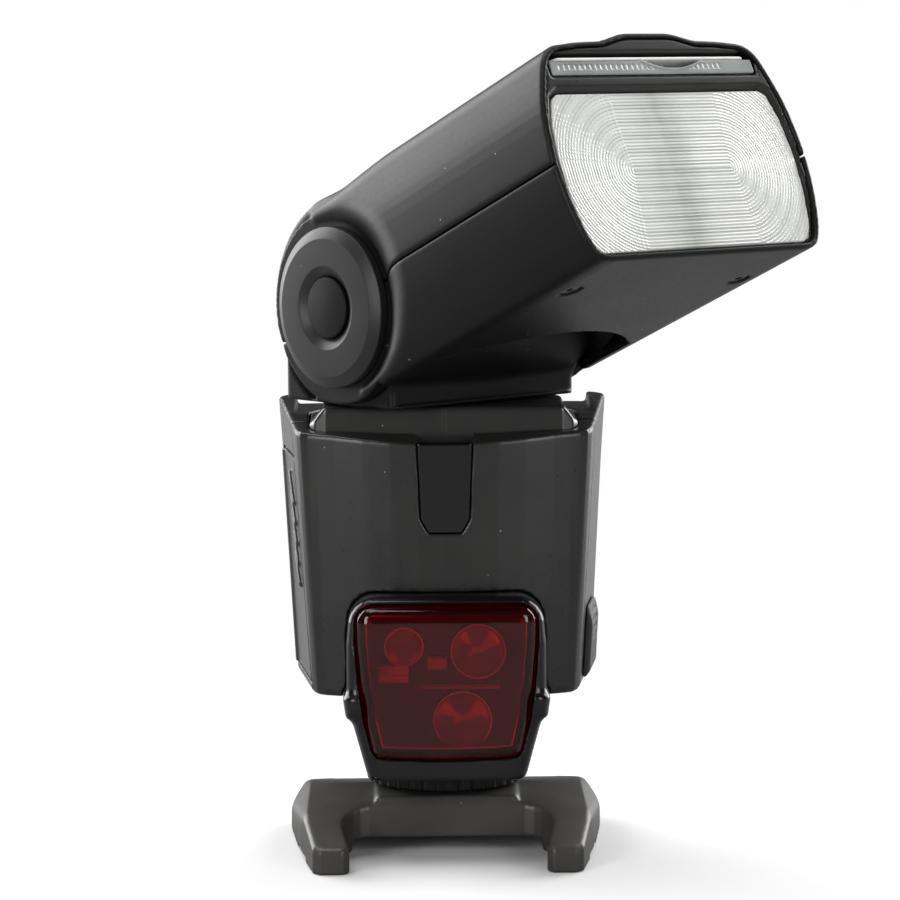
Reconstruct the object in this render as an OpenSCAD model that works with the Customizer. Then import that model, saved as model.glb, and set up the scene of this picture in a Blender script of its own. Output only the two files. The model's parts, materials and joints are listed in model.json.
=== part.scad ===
// Shoe-mount speedlight flash on its mini stand, in millimetres.
// Frame: +Z up, front of the body towards -Y, origin on the resting plane
// under the swivel axis. The head is shown swung and tilted to its rest pose.

/* [Rest pose] */
// Swing of the head from straight ahead, towards +X
rest_pan = 40.3; // [0:0.1:90]
// Tilt of the head above level
rest_tilt = 23.6; // [0:0.1:60]

/* [Head] */
// Height of the tilt axis above the resting plane
pivot_z = 124; // [123:0.5:128]
// Distance from the tilt axis to the lens face
head_len = 84.5; // [82:0.5:92]
// Half width of the head at its widest, at the lens face
head_half_w = 37.6; // [36:0.2:39]
// Height of the roof above the tilt axis
head_top = 25.6; // [25:0.1:26.5]
// Depth of the floor below the tilt axis
head_floor = 21.9; // [21.5:0.1:22.2]

/* [Body] */
// Half width of the body at its widest, near the top
body_half_w = 38; // [37:0.2:40]
// Underside of the body
body_z0 = 36.4; // [35.5:0.1:37]
// Rim of the body at the back
body_z1 = 100.6; // [100.2:0.1:100.8]
// Top of the plinth that the neck turns on
plinth_z = 101.5; // [101.4:0.1:101.6]

/* [Stand] */
// Height of the stand's top face
stand_z = 13.4; // [13.2:0.1:13.6]
// Half width of the stand
stand_half_w = 36; // [34:0.5:39]

/* [Hidden] */
$fn = 48;
eps = 0.02;
// Wall of the moulded shells
wall = 1.9;
// Gap between pieces that are fixed together, and between pieces that move
fit = 0.08;

// ---------------------------------------------------------------- helpers

// Puts the children, drawn level and straight ahead with the tilt axis at the
// origin, into the head's rest pose.
module head_pose()
    translate([0, 0, pivot_z]) rotate([0, 0, rest_pan]) rotate([-rest_tilt, 0, 0]) children();

// The same for the neck, which swings and doesn't tilt.
module neck_pose()
    translate([0, 0, pivot_z]) rotate([0, 0, rest_pan]) children();

// A cylinder along X from x0 to x1.
module x_rod(x0, x1, r) translate([x0, 0, 0]) rotate([0, 90, 0]) cylinder(r = r, h = x1 - x0);

// A cylinder along Y from y0 to y1.
module y_rod(y0, y1, r) translate([0, y0, 0]) rotate([-90, 0, 0]) cylinder(r = r, h = y1 - y0);

// A box from its lowest and highest corners.
module box(a, b) translate(a) cube(b - a);

module mirror_pair() {
    children();
    mirror([1, 0, 0]) children();
}

// A rectangle with rounded corners, centred, made of exact shapes.
module round_rect(w, h, r) {
    square([w - 2 * r, h], center = true);
    square([w, h - 2 * r], center = true);
    for (x = [-1, 1], y = [-1, 1]) translate([x * (w / 2 - r), y * (h / 2 - r)]) circle(r);
}

// Mirrors a right-hand outline, listed from front to back, into a closed one.
function both(pts) = concat(pts,
    [for (i = [len(pts) - 1:-1:0]) if (pts[i].x > eps) [-pts[i].x, pts[i].y]]);

// ---------------------------------------------------------------- stand

shoe_floor = 9.3;
foot_z0 = 9.7;
foot_z1 = 11.7;
foot_half_w = 9.3;
foot_neck_half_w = 6.1;
bar_z = 4;
nut_r = 4.5;
thread_r = 2.55;
ring_r = 18.2;
ring_z0 = 14;
ring_z1 = 18.4;

function stand_outline() = both(concat(
    [for (a = [0:15:90]) [15.5 + 8 * sin(a) - 15.5 * (a == 0 ? 1 : 0), -27 + 8 * cos(a)]],
    [[21.8, -36.6], [23.2, -38], [28.4, -38], [30, -36.4], [33, -20]],
    [for (a = [-10:10:60]) [stand_half_w - 12 + 12 * cos(a), 8 + 17 * sin(a)]],
    [[26.2, 25.4], [25.2, 23], [0, 22]]));

module stand_base() color("dimgray") difference() {
    intersection() {
        linear_extrude(stand_z) polygon(stand_outline());
        union() {
            // block that carries the shoe
            box([-16, -18.6, 0], [16, 17.4, stand_z]);
            // shoulders that fall away to the sides, the feet and the back
            hull() {
                box([-20, -18.6, 0], [20, 0.4, stand_z - 0.5]);
                linear_extrude(5.4) polygon([[-31, -39], [31, -39], [37, -4], [37, 10],
                    [30, 26], [-30, 26], [-37, 10], [-37, -4]]);
                box([-31, -20, 0], [31, 0, 11.4]);
                box([-29, 0, 0], [29, 24, 8.8]);
            }
        }
    }
    // open underneath, with a rim to rest on
    box([-21.5, -40, -1], [21.5, 20.5, bar_z]);
    box([-33.5, -26, -1], [33.5, 13, 1.2]);
    box([-foot_half_w - 0.15, -11, shoe_floor], [foot_half_w + 0.15, 40, foot_z1 + 0.2]);
    box([-foot_neck_half_w - 0.2, -10.6, shoe_floor], [foot_neck_half_w + 0.2, 40, 20]);
    translate([0, 0, bar_z - 1]) cylinder(r = nut_r, h = 1 + 4.4);
    // run-out for the locking pin
    translate([0, -7.2, shoe_floor - 2.2]) cylinder(r = 1.6, h = 5);
    box([-1.6, -7.2, shoe_floor - 2.2], [1.6, 40, shoe_floor + 1]);
}

module tripod_nut() color("silver") difference() {
    translate([0, 0, bar_z]) cylinder(r = nut_r - 0.02, h = 4.3);
    translate([0, 0, bar_z - 1]) cylinder(r = thread_r, h = 8);
}

// ---------------------------------------------------------------- foot

stem_r = 10.9;
pin_spots = [[0, 1.2], [-4, -1.6], [4, -1.6], [-4, 4.4], [4, 4.4]];

module foot_plate() color("silver") difference() {
    union() {
        box([-foot_half_w, -9, foot_z0], [foot_half_w, 9, foot_z1]);
        box([-foot_neck_half_w, -8.6, foot_z1 - eps], [foot_neck_half_w, 8.6, 13.7]);
        translate([0, 0, 13.7 - eps]) cylinder(r = stem_r, h = 5.2 + eps);
    }
    box([-5.4, -3.6, foot_z0 - 1], [5.4, 6.4, foot_z0 + 2.6]);
    translate([0, -7.2, foot_z0 - 1]) cylinder(r = 1.25, h = 20);
    for (x = [-7, 7], y = [-5, 5]) translate([x, y, 14.5]) cylinder(r = 1.1, h = 6);
}

module foot_insulator() color("black") difference() {
    box([-5.3, -3.5, foot_z0], [5.3, 6.3, foot_z0 + 2.5]);
    for (p = pin_spots) translate([p.x, p.y, foot_z0 - 1]) cylinder(r = 1.1, h = 3.1);
}

module contact_pins() color("gold")
    for (p = pin_spots) translate([p.x, p.y, 9.42]) cylinder(r = 1.03, h = 1.7);

module lock_ring() color("black") difference() {
    translate([0, 0, ring_z0]) cylinder(r = ring_r, h = ring_z1 - ring_z0, $fn = 96);
    translate([0, 0, ring_z0 - 1]) cylinder(r = stem_r + 0.08, h = 10);
    for (a = [0:10:350]) rotate(a) translate([ring_r + 0.5, 0, ring_z0 - 1]) cylinder(r = 0.95, h = 8);
}

module lock_pin() color("silver") translate([0, -7.2, foot_z0 + 0.1]) {
    cylinder(r = 1.2, h = 13);
    translate([0, 0, 11.5]) cylinder(r = 2.2, h = 1.2);
}

// The block under the body that the foot screws into.
module mount_block() color("#222222") difference() {
    box([-13.5, -12, ring_z1 + 0.7], [13.5, 12.5, 27]);
    translate([0, -7.2, 10]) cylinder(r = 3, h = 14.5);
    for (x = [-7, 7], y = [-5, 5]) translate([x, y, 10]) cylinder(r = 1.1, h = 14);
}

// ---------------------------------------------------------------- body shells

// Right-hand outline of the body: a bowed front, rounded front corners, sides
// that flare out towards the back, and a rounded, slightly bowed back.
function body_half(front_x, front_y, corner_y, side_x, back_y, inset) =
    let (fx = front_x - inset * 0.6, sx = side_x - inset, by = back_y - inset, r = 8)
    concat(
        [for (i = [0:6]) [fx * i / 6, front_y + inset + (corner_y - front_y) * pow(i / 6, 2)]],
        [[fx + 1.7, corner_y + inset + 1.1], [fx + 2.7, corner_y + inset + 2.9],
         [fx + 3.1, corner_y + inset + 5]],
        [for (a = [0:15:90]) [sx - r + r * cos(a), by - 0.5 - r + r * sin(a)]],
        [[sx * 0.4, by - 0.1], [0, by]]);

function top_outline(inset) = both(body_half(30.6, -27.2, -20.4, body_half_w, 26, inset));
function low_outline(inset) = both(body_half(27.2, -24, -18.4, body_half_w - 3.8, 22.5, inset));

module body_form(inset, z0, z1) {
    hull() {
        translate([0, 0, z0]) linear_extrude(0.1) polygon(low_outline(inset));
        translate([0, 0, z1 - 0.1]) linear_extrude(0.1) polygon(top_outline(inset));
    }
}

// The top face falls away towards the front.
slope_back_y = 15;
slope_angle = 7.4;
module above_slope(drop)
    translate([-60, slope_back_y, body_z1 - drop]) rotate([slope_angle, 0, 0])
        translate([0, -60, 0]) cube([120, 60, 40]);

// The middle of the top lies lower, so that the head can dip below level.
well_z = 98.2;
module top_well(grow) box([-33.8 - grow, -2, well_z - grow], [33.8 + grow, 40, 120]);

module body_shell() difference() {
    body_form(0, body_z0, body_z1);
    above_slope(0);
    top_well(0);
    difference() {
        body_form(wall, body_z0 + wall, body_z1 - wall);
        above_slope(wall * 1.6);
        top_well(wall);
    }
    deck_hole();
    chin_hole();
}

plinth_front_y = -17.2;
function plinth_outline(grow) = both([[0, plinth_front_y - 0.9 - grow], [14, plinth_front_y - 0.7 - grow],
    [25.8 + grow, plinth_front_y - grow], [26.8 + grow, plinth_front_y + 1.2], [27.3 + grow, 0],
    [27.3 + grow, 5], [24.5 + grow, 12.6], [20 + grow, 17.4 + grow], [0, 19.2 + grow]]);

// Wider band round the foot of the plinth, low enough for the head to pass over.
band_z = 98;
function band_outline(grow) = both([[0, plinth_front_y - 0.9 - grow], [14, plinth_front_y - 0.7 - grow],
    [26.4 + grow, plinth_front_y - 0.2 - grow], [28.9 + grow, -16.4 - grow], [30 + grow, -14],
        [30.2 + grow, 5],
    [27 + grow, 13], [20 + grow, 17.4 + grow], [0, 19.2 + grow]]);

module deck_hole() translate([0, 0, 90]) linear_extrude(20) polygon(band_outline(fit));

// The seam between the covers leans forward towards the bottom.
seam_y = -9.5;
seam_z = 90;
seam_lean = 5.4;
module ahead_of_seam(gap)
    translate([-60, seam_y - gap, seam_z]) rotate([-seam_lean, 0, 0]) translate([0, -80, -90])
        cube([120, 80, 140]);

// Window housing: a tapered chin under the front of the body.
chin_z0 = 19.1;
module chin_form(grow) hull() {
    translate([0, 0, chin_z0]) linear_extrude(0.1)
        polygon([[-14.6 - grow, -30.3 - grow], [14.6 + grow, -30.3 - grow], [17.4 + grow, -27],
            [17.4 + grow, 15 + grow],
            [-17.4 - grow, 15 + grow], [-17.4 - grow, -27]]);
    translate([0, 0, body_z0]) linear_extrude(0.1)
        polygon([[-19 - grow, -31.6 - grow], [19 + grow, -31.6 - grow], [22.2 + grow, -28],
            [22.2 + grow, 16.5 + grow],
            [-22.2 - grow, 16.5 + grow], [-22.2 - grow, -28]]);
}

module hood_form(grow) hull() {
    translate([0, -15.4, body_z0]) rotate([90, 0, 0]) linear_extrude(16.2 + grow)
        polygon([[-19 - grow, -2], [19 + grow, -2], [20 + grow, 12], [16.5, 19.8 + grow],
            [-16.5, 19.8 + grow], [-20 - grow, 12]]);
    translate([0, -15.4, body_z0]) rotate([90, 0, 0]) linear_extrude(8.6 + grow)
        polygon([[-22.2 - grow, -2], [22.2 + grow, -2], [22.2 + grow, 15], [17.4, 23.2 + grow],
            [-17.4, 23.2 + grow], [-22.2 - grow, 15]]);
}

module chin_hole() {
    chin_form(fit);
    hood_form(fit);
    // slot for the lamp board
    box([-15.3, -16.4, 30], [15.3, -14.2, 45]);
}

// Sensor window: a tapered tongue in the upper front of the body.
function tongue(grow) =
    [[-5.4 - grow, 77.2 - grow], [-3.6, 74.1 - grow], [3.6, 74.1 - grow], [5.4 + grow, 77.2 - grow],
    [6.3 + grow, 96], [-6.3 - grow, 96]];
module tongue_form(grow) translate([0, -24.6, 0]) rotate([90, 0, 0]) linear_extrude(8)
    polygon(tongue(grow));

module front_cover() color("#1c1c1e") difference() {
    intersection() {
        body_shell();
        ahead_of_seam(0.05);
    }
    tongue_form(fit);
    translate([0, 1.6, 0]) tongue_form(-1.2);
}

module sensor_window() color("#0a0a0a") difference() {
    intersection() {
        tongue_form(0);
        body_form(0, body_z0, body_z1);
    }
    above_slope(0);
}

// Openings in the rear cover.
// Lean of the rear face in degrees
rear_lean = 3.1;
function rear_y(z) = 22.2 + 3.5 * (z - body_z0) / (body_z1 - body_z0);
// Display: left, bottom, right, top
lcd = [-19, 66.5, 19, 91];
// Row of keys under the display
button_z = 61;
button_xs = [-18.5, -6.5, 5.5, 17.5];
button_size = [8.4, 4.6];
// Dial, test button and slide switches: across, up
dial_spot = [12.5, 47.5];
dial_r = 8.6;
test_spot = [-17.5, 49];
power_spot = [-17.5, 41.7];
slave_spot = [-4.2, 41.7];
switch_slot = [8, 3.4];

// Edges of the battery door in the side wall
door_y0 = -17;
door_y1 = 11.8;
door_z0 = 39;
door_z1 = 89.4;
// The hinge leans outwards with the side wall.
hinge_low_x = -32.8;
hinge_y = 12;
hinge_lean = 2.98;
knuckle_r = 1.7;
module on_hinge(z) translate([hinge_low_x, hinge_y, body_z0]) rotate([0, -hinge_lean, 0])
    translate([0, 0, z - body_z0]) children();

// Places the children on the rear face, d outwards from it.
module behind(d, x, z) translate([x, rear_y(z), z]) rotate([-90 - rear_lean, 0, 0]) translate([0, 0, d])
    children();

module rear_openings() {
    box([lcd[0] - 0.1, 18, lcd[1] - 0.1], [lcd[2] + 0.1, 40, lcd[3] + 0.1]);
    for (x = button_xs) behind(-7, x, button_z) linear_extrude(14)
        round_rect(button_size.x + 0.5, button_size.y + 0.5, 2.2);
    behind(-3.6, dial_spot.x, dial_spot.y) cylinder(r = dial_r + 0.4, h = 10);
    behind(-7, test_spot.x, test_spot.y) cylinder(r = 3.5, h = 14);
    for (s = [power_spot, slave_spot]) behind(-7, s.x, s.y) linear_extrude(14)
        round_rect(switch_slot.x, switch_slot.y, 1.2);
    box([-50, door_y0, door_z0 - 0.2], [-28, door_y1 + 0.2, door_z1 + 0.2]);
    on_hinge(door_z0 - 0.2) cylinder(r = knuckle_r + 0.25, h = door_z1 - door_z0 + 0.4);
    box([28, -6.2, 40.8], [50, 6.2, 52.2]);
}

module rear_cover() color("#202022") difference() {
    union() {
        difference() {
            body_shell();
            ahead_of_seam(0);
            rear_openings();
        }
        // dial well behind the rear wall
        intersection() {
            behind(-5.2, dial_spot.x, dial_spot.y) cylinder(r = dial_r + 1.8, h = 4.4);
            body_form(wall / 2, body_z0, body_z1);
        }
    }
    behind(-3.8, dial_spot.x, dial_spot.y) cylinder(r = dial_r + 0.4, h = 10);
    behind(-9, dial_spot.x, dial_spot.y) cylinder(r = 3.2, h = 20);
    for (p = screw_spots) translate([p.x, p.y, body_z0 - 1]) {
        cylinder(r = 2.1, h = 2.25);
        cylinder(r = 1.06, h = 4);
    }
    on_hinge(door_z0 - 2) cylinder(r = 0.8, h = door_z1 - door_z0 + 4);
}

screw_spots = [for (x = [-25.5, 25.5], y = [-11, 17]) [x, y]];
neck_boss_r = 12;
module top_deck() color("#242426") difference() {
    intersection() {
        union() {
            translate([0, 0, 93]) linear_extrude(plinth_z - 93) polygon(plinth_outline(0));
            translate([0, 0, 93]) linear_extrude(band_z - 93) polygon(band_outline(0));
        }
        body_form(wall, body_z0, body_z1 + 8);
    }
    // hollow from below
    translate([0, 0, 90]) linear_extrude(plinth_z - 90 - 2)
        polygon(both([[0, -15.6], [24.6, -14.8], [25.4, 4], [22.8, 11.6], [18.8, 15.8], [0, 17]]));
    translate([0, 0, 90]) cylinder(r = neck_boss_r + 0.1, h = 20);
}

// ---------------------------------------------------------------- window and assist lamps

// Half outlines of the red window's face and of its rim, drawn in by t.
window_z0 = 24;
function window_face(t) = [[14.9 - t, window_z0 + t], [17 - t, 36], [18.6 - t, 51], [17.2 - t, 53.4]];
function window_rim(t) = [[16 - t, window_z0 + t], [18.4 - t, 36], [20.2 - t, 51], [16.3, 58 - t]];

// Red window: a hollow cover with a sloped edge over the front of the chin.
module window_form(t) hull() {
    translate([0, -31.2 + t, 0]) rotate([90, 0, 0]) linear_extrude(1.9) polygon(both(window_face(t)));
    translate([0, -28.3 + t, 0]) rotate([90, 0, 0]) linear_extrude(1) polygon(both(window_rim(t)));
}

module assist_window() color([0.6, 0.03, 0.06, 0.6]) difference() {
    window_form(0);
    translate([0, 1.6, 0]) window_form(1.5);
    box([-30, -28.2, 0], [30, -20, 70]);
}

module assist_housing() color("#161618") difference() {
    union() {
        chin_form(0);
        hood_form(0);
    }
    // pocket for the window and the lamps
    translate([0, -14, 0]) rotate([90, 0, 0]) linear_extrude(30) polygon(both(window_rim(-0.1)));
    // open back, into the body and over the mount block
    box([-17, -12.2, 20.8], [17, 13.2, 70]);
    box([-13.6, -12.1, 10], [13.6, 12.6, 30]);
    translate([0, 0, 10]) cylinder(r = 4, h = 20);
}

module assist_board() color("darkgreen") difference() {
    box([-15, -15.8, 24], [15, -14.4, 55]);
    for (x = [-13, 13], z = [26, 53]) translate([x, -17, z]) rotate([-90, 0, 0]) cylinder(r = 0.9, h = 4);
}

// Assist lamps: across, up and radius
lamp_spots = [[7.2, 47, 5.4], [-9.4, 48.2, 3.6], [3.6, 31.4, 5.8]];
module assist_lamps() color([0.9, 0.9, 0.95]) for (s = lamp_spots)
    translate([s[0], -15.85, s[1]]) rotate([90, 0, 0]) {
        cylinder(r = s[2], h = 3.4);
        translate([0, 0, 3.4 - eps]) rotate_extrude() intersection() {
            translate([0, -s[2] * 0.5]) circle(s[2] * 1.1);
            square([s[2], 10]);
        }
    }

// ---------------------------------------------------------------- inside the body

cell_r = 7.15;
cell_len = 50;
cell_xs = [-22, -7.3];
cell_y = 2;
cell_spots = [for (x = cell_xs, y = [-7.35, 7.35]) [x, cell_y + y]];
cell_z0 = 40.4;

module battery_box() color("#101010") difference() {
    intersection() {
        box([-40, cell_y - 15.7, body_z0 + wall + 0.6], [1, cell_y + 15.7, 92.6]);
        body_form(wall + 0.25, body_z0, body_z1);
    }
    box([-50, cell_y - 14.7, 39.8], [0, cell_y + 14.7, 91.4]);
    // the door and its hinge stay clear
    box([-50, -30, 30], [-29.9, 30, 100]);
}

module battery_cells() color("#3a5f3a") for (s = cell_spots) translate([s.x, s.y, cell_z0]) {
    cylinder(r = cell_r, h = cell_len - 1.2);
    translate([0, 0, cell_len - 1.2 - eps]) cylinder(r = 2.6, h = 1.2);
}

module battery_contacts() color("silver") for (x = cell_xs)
    box([x - 6, cell_y - 13.4, cell_z0 + cell_len + 0.1],
        [x + 6, cell_y + 13.4, cell_z0 + cell_len + 0.7]);

module door_panel(gap) intersection() {
    difference() {
        body_form(0, body_z0, body_z1);
        body_form(wall - 0.3, body_z0 - 1, body_z1 + 1);
    }
    box([-50, door_y0, door_z0 + gap], [-28, door_y1, door_z1 - gap]);
}

module battery_door() color("#242427") difference() {
    union() {
        difference() {
            door_panel(0.05);
            ahead_of_seam(-0.15);
        }
        // hinge knuckle
        on_hinge(door_z0 + 0.2) cylinder(r = knuckle_r, h = door_z1 - door_z0 - 0.4);
        // grip ribs near the free edge
        intersection() {
            for (i = [0:4]) translate([-36.1 + i * 0.28, -4.6 - 0.4 * i, 82 - 4.6 * i])
                rotate([52, 0, 0]) cube([4.4, 5.6, 1.2], center = true);
            difference() {
                body_form(-0.55, body_z0, body_z1);
                body_form(wall - 0.4, body_z0 - 1, body_z1 + 1);
            }
        }
    }
    on_hinge(door_z0 - 1) cylinder(r = 0.86, h = 60);
}

module door_hinge_pin() color("silver")
    on_hinge(door_z0 - 1.5) cylinder(r = 0.78, h = door_z1 - door_z0 + 3);

module main_capacitor() color("#18181c") translate([13.4, 2.4, 38.6]) difference() {
    cylinder(r = 11.8, h = 50);
    for (a = [0, 90]) rotate(a) translate([-8, -0.3, 49.5]) cube([16, 0.6, 2]);
}

module main_board() color("darkgreen") box([26, -12, 40], [27.5, 16, 90]);

module transformer() color("#4a3a20") {
    box([27.6, -8, 56], [30.6, 6, 68]);
    box([27.6, -6, 74], [31.4, 8, 84]);
}

module lcd_module() color("#9aa58a") box([-17.6, 19.8, 67.5], [17.6, 22.6, 90]);
module lcd_window() color([0.25, 0.28, 0.27, 0.9]) intersection() {
    box([lcd[0], 22.8, lcd[1]], [lcd[2], 30, lcd[3]]);
    body_form(0.1, body_z0, body_z1);
}

// A push button in the rear face: a cap with a wider foot inside the wall.
module push_button(x, z, r) behind(-3.6, x, z) {
    linear_extrude(1.4) round_rect(button_size.x + 1.6, button_size.y + 1.6, r);
    linear_extrude(4.5) round_rect(button_size.x, button_size.y, r);
}

module light_button() color("#3b3b3e") push_button(button_xs[0], button_z, 2);
module mode_button() color("#3b3b3e") push_button(button_xs[1], button_z, 2);
module sync_button() color("#3b3b3e") push_button(button_xs[2], button_z, 2);
module zoom_button() color("#3b3b3e") push_button(button_xs[3], button_z, 2);

module test_button() color([0.8, 0.25, 0.1, 0.9]) behind(-3.6, test_spot.x, test_spot.y) {
    cylinder(r = 3.2, h = 4.5);
    cylinder(r = 4, h = 1.4);
}

module select_dial() color("#2a2a2c") behind(-3.5, dial_spot.x, dial_spot.y) difference() {
    union() {
        cylinder(r = dial_r, h = 4.8);
        translate([0, 0, -1.6]) cylinder(r = 3.1, h = 1.8);
    }
    for (a = [0:15:345]) rotate(a) translate([dial_r + 0.35, 0, 0.8]) cylinder(r = 0.7, h = 5);
    translate([0, 0, 1.4]) cylinder(r = 4.4, h = 5);
    translate([0, 0, -2]) cylinder(r = 1.6, h = 5);
}

module set_button() color("#3b3b3e") behind(-3.5, dial_spot.x, dial_spot.y) {
    translate([0, 0, 2.2]) cylinder(r = 4.3, h = 2.9);
    translate([0, 0, -1.4]) cylinder(r = 1.5, h = 3.7);
}

// A slide switch: a thumb piece in its slot on a wider shoe inside the wall.
module slide_switch(s) behind(-3.6, s.x - 1.8, s.y) {
    linear_extrude(1.2) round_rect(8.6, 4.8, 1);
    linear_extrude(4.5) round_rect(3.6, 2.9, 0.8);
}

module power_switch() color("#3b3b3e") slide_switch(power_spot);
module slave_switch() color("#3b3b3e") slide_switch(slave_spot);

module power_socket() color("#111111") difference() {
    box([27.7, -6, 41], [31.6, 6, 52]);
    for (z = [44, 46.5, 49]) translate([29, 0, z]) rotate([0, 90, 0]) cylinder(r = 0.7, h = 10);
    box([30.4, -4, 42.5], [40, 4, 50.5]);
}

flap_z0 = 37.9;
module socket_cover() color("#2c2c2e") difference() {
    hull() {
        box([29, -8.2, flap_z0], [34.4, 8.6, 54.6]);
        box([29, -7.2, flap_z0 + 2], [36.6, 8, 50]);
        box([29, -7.8, flap_z0 + 0.6], [35.3, 8.4, 54]);
    }
    body_form(-0.12, body_z0 - 1, body_z1);
}

module case_screws() color("silver") for (p = screw_spots)
    translate([p.x, p.y, body_z0 + 0.2]) difference() {
        union() {
            cylinder(r = 2, h = 1);
            cylinder(r = 1, h = 1.9);
        }
        translate([0, 0, -1]) cylinder(r = 0.9, h = 1.6, $fn = 6);
    }

// ---------------------------------------------------------------- neck

drum_r = 22.2;
drum_half_w = 27.4;
cradle_r = 25.6;
block_front = -15;
block_back = 23;
neck_z0 = plinth_z + 0.3 - pivot_z;

module neck() color("#1a1a1c") neck_pose() difference() {
    union() {
        x_rod(-drum_half_w, drum_half_w, drum_r);
        // foot block under the drum
        intersection() {
            box([-drum_half_w, block_front, neck_z0], [drum_half_w, block_back, -8]);
            union() {
                difference() {
                    box([-40, -40, -60], [40, 40, 0]);
                    x_rod(-40, 40, cradle_r);
                }
                box([-40, -14.5, -60], [40, 12.3, 0]);
                // thin floor that ties the rear wall to the web
                box([-40, -14.5, -60], [40, block_back, neck_z0 + 0.7]);
            }
        }
        translate([0, 0, neck_z0 - 2.5]) cylinder(r = neck_boss_r, h = 2.7);
    }
    // hollow drum, and the wire channel down through the boss
    x_rod(-drum_half_w + 3, drum_half_w - 3, drum_r - 3);
    translate([0, 0, -60]) cylinder(r = 7, h = 50);
    x_rod(-40, 40, 4);
}

module swivel_retainer() color("silver") translate([0, 0, 97.7]) difference() {
    cylinder(r = 15.5, h = 1.55);
    translate([0, 0, -1]) cylinder(r = 7.2, h = 4);
}

// ---------------------------------------------------------------- head

bezel_depth = 3.2;
lens_top = 15.8;
lens_low = -19.2;
slot_low = 18.5;
slot_top = 23.5;
ear_x0 = 27.8;
ear_x1 = 31;
ear_r = 21.7;
cap_x1 = 34.2;
shell_r = 24.9;
lip_v = 13;
cap_r = 17.8;
cap_flat_r = 15.4;
button_r = 6.85;
pin_r = 3.96;
split_v = -0.6;

// Right-hand outline of the head's section: a crowned roof, barrelled sides
// and a flat floor. grow is how far the outline lies inside the skin.
function head_section(half_w, top, low, inset) = both(concat(
    [[0, top - inset], [half_w * 0.45, top - 0.15 - inset], [half_w * 0.79, top - 0.9 - inset],
     [half_w * 0.845, top - 2 - inset], [half_w - 4.7 - inset, top - 4.2 - inset]],
    [for (i = [0:6]) let (v = 18 - 6 * i, s = (v + 2) / 20) [half_w - inset - 3.8 * s * s, v]],
    [[half_w - 4.1 - inset, -low + 1.9 + inset], [half_w - 6.6 - inset, -low + inset],
        [0, -low + inset]]));

module head_slice(y, half_w, top, inset)
    translate([0, y, 0]) rotate([90, 0, 0]) linear_extrude(0.1)
        polygon(head_section(half_w, top, head_floor, inset));

// The head without its rounded back end: straight for most of its length and
// drawn in at the back.
module head_form(inset, y_front) hull() {
    head_slice(-y_front, head_half_w, head_top + 0.4, inset);
    head_slice(-20, head_half_w - 0.5, head_top, inset);
    head_slice(0, 31.2, head_top - 0.9, inset);
}

module head_skin() difference() {
    union() {
        head_form(0, head_len - 0.1);
        // rounded back end around the tilt axis, and the ears
        intersection() {
            x_rod(-29, 29, shell_r);
            box([-30, -60, 0], [30, 60, 60]);
        }
        x_rod(-ear_x1, ear_x1, ear_r);
        brow();
    }
    // inside, back to the drum
    intersection() {
        head_form(wall, head_len + 1);
        box([-60, -120, -60], [60, -6, 60]);
    }
    mirror_pair() ear_seat();
    // room for the drum, the ears stay either side of it
    x_rod(-ear_x0, ear_x0, drum_r + 0.8);
    // below the axis the back is open between the ears
    box([-ear_x0, -26, -60], [ear_x0, 60, lip_v]);
    mirror_pair() difference() {
        box([ear_x0 - 1, -8, -60], [40, 60, lip_v]);
        x_rod(0, 40, ear_r);
    }
    pocket_form(0);
    mirror_pair() x_rod(20, 40, pin_r + 0.06);
    for (x = [-25, 25]) translate([x, -66, -head_floor - 1]) cylinder(r = 2.2, h = 2.4);
    for (x = [-25, 25]) translate([x, -66, -head_floor - 1]) cylinder(r = 1.1, h = 6);
}

// The side wall dives in around each hinge cap.
module ear_seat() {
    translate([ear_x1, 0, 0]) rotate([0, 90, 0]) cylinder(r1 = cap_r + 0.1, r2 = cap_r + 1.2, h = 2.1);
    translate([ear_x1 + 2, 0, 0]) rotate([0, 90, 0]) cylinder(r1 = cap_r + 1.2, r2 = cap_r + 13, h = 8);
}

// Raised thumb rest over the panel slot.
module brow() intersection() {
    translate([0, -head_len, head_top - 12]) rotate([90, 0, 0]) mirror([0, 0, 1])
        cylinder(r = 15.2, h = 18);
    hull() {
        box([-18, -head_len, head_top - 4], [22, -head_len + 3, head_top + 2.6]);
        box([-18, -head_len, head_top - 4], [22, -head_len + 18, head_top - 1]);
    }
}

// Pocket in the floor that clears the turntable.
module pocket_form(grow) intersection() {
    translate([0, 0, -60]) cylinder(r = 35.2 + grow, h = 42.6 + grow, $fn = 72);
    box([-ear_x0 - grow, -60, -60], [ear_x0 + grow, -23.6, 60]);
}

module pocket_walls() intersection() {
    difference() {
        pocket_form(1.2);
        pocket_form(0);
    }
    head_form(wall / 2, head_len);
}

module head_upper_shell() color("#1b1b1d") head_pose() difference() {
    head_skin();
    box([-60, -120, -60], [60, 60, split_v]);
    bezel_cut();
}

module head_lower_shell() color("#1b1b1d") head_pose() difference() {
    union() {
        head_skin();
        pocket_walls();
    }
    box([-60, -120, split_v - fit], [60, 60, 60]);
    bezel_cut();
}

// The front of the shells is cut back for the bezel's flange.
module bezel_cut() difference() {
    head_form(1.2 - fit, head_len + 1);
    box([-60, -head_len + bezel_depth + fit, -60], [60, 60, 60]);
}

module front_bezel() color("#161617") head_pose() difference() {
    intersection() {
        head_form(1.2, head_len + 1);
        box([-60, -head_len + 0.4, -60], [60, -head_len + bezel_depth, 60]);
    }
    // lens opening
    translate([0, -head_len - 5, 0]) rotate([-90, 0, 0]) mirror([0, 1, 0]) linear_extrude(20)
        polygon(lens_outline(0.1));
    // panel slot
    box([-30.4, -head_len - 5, slot_low], [30.4, 0, slot_top]);
}

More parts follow.
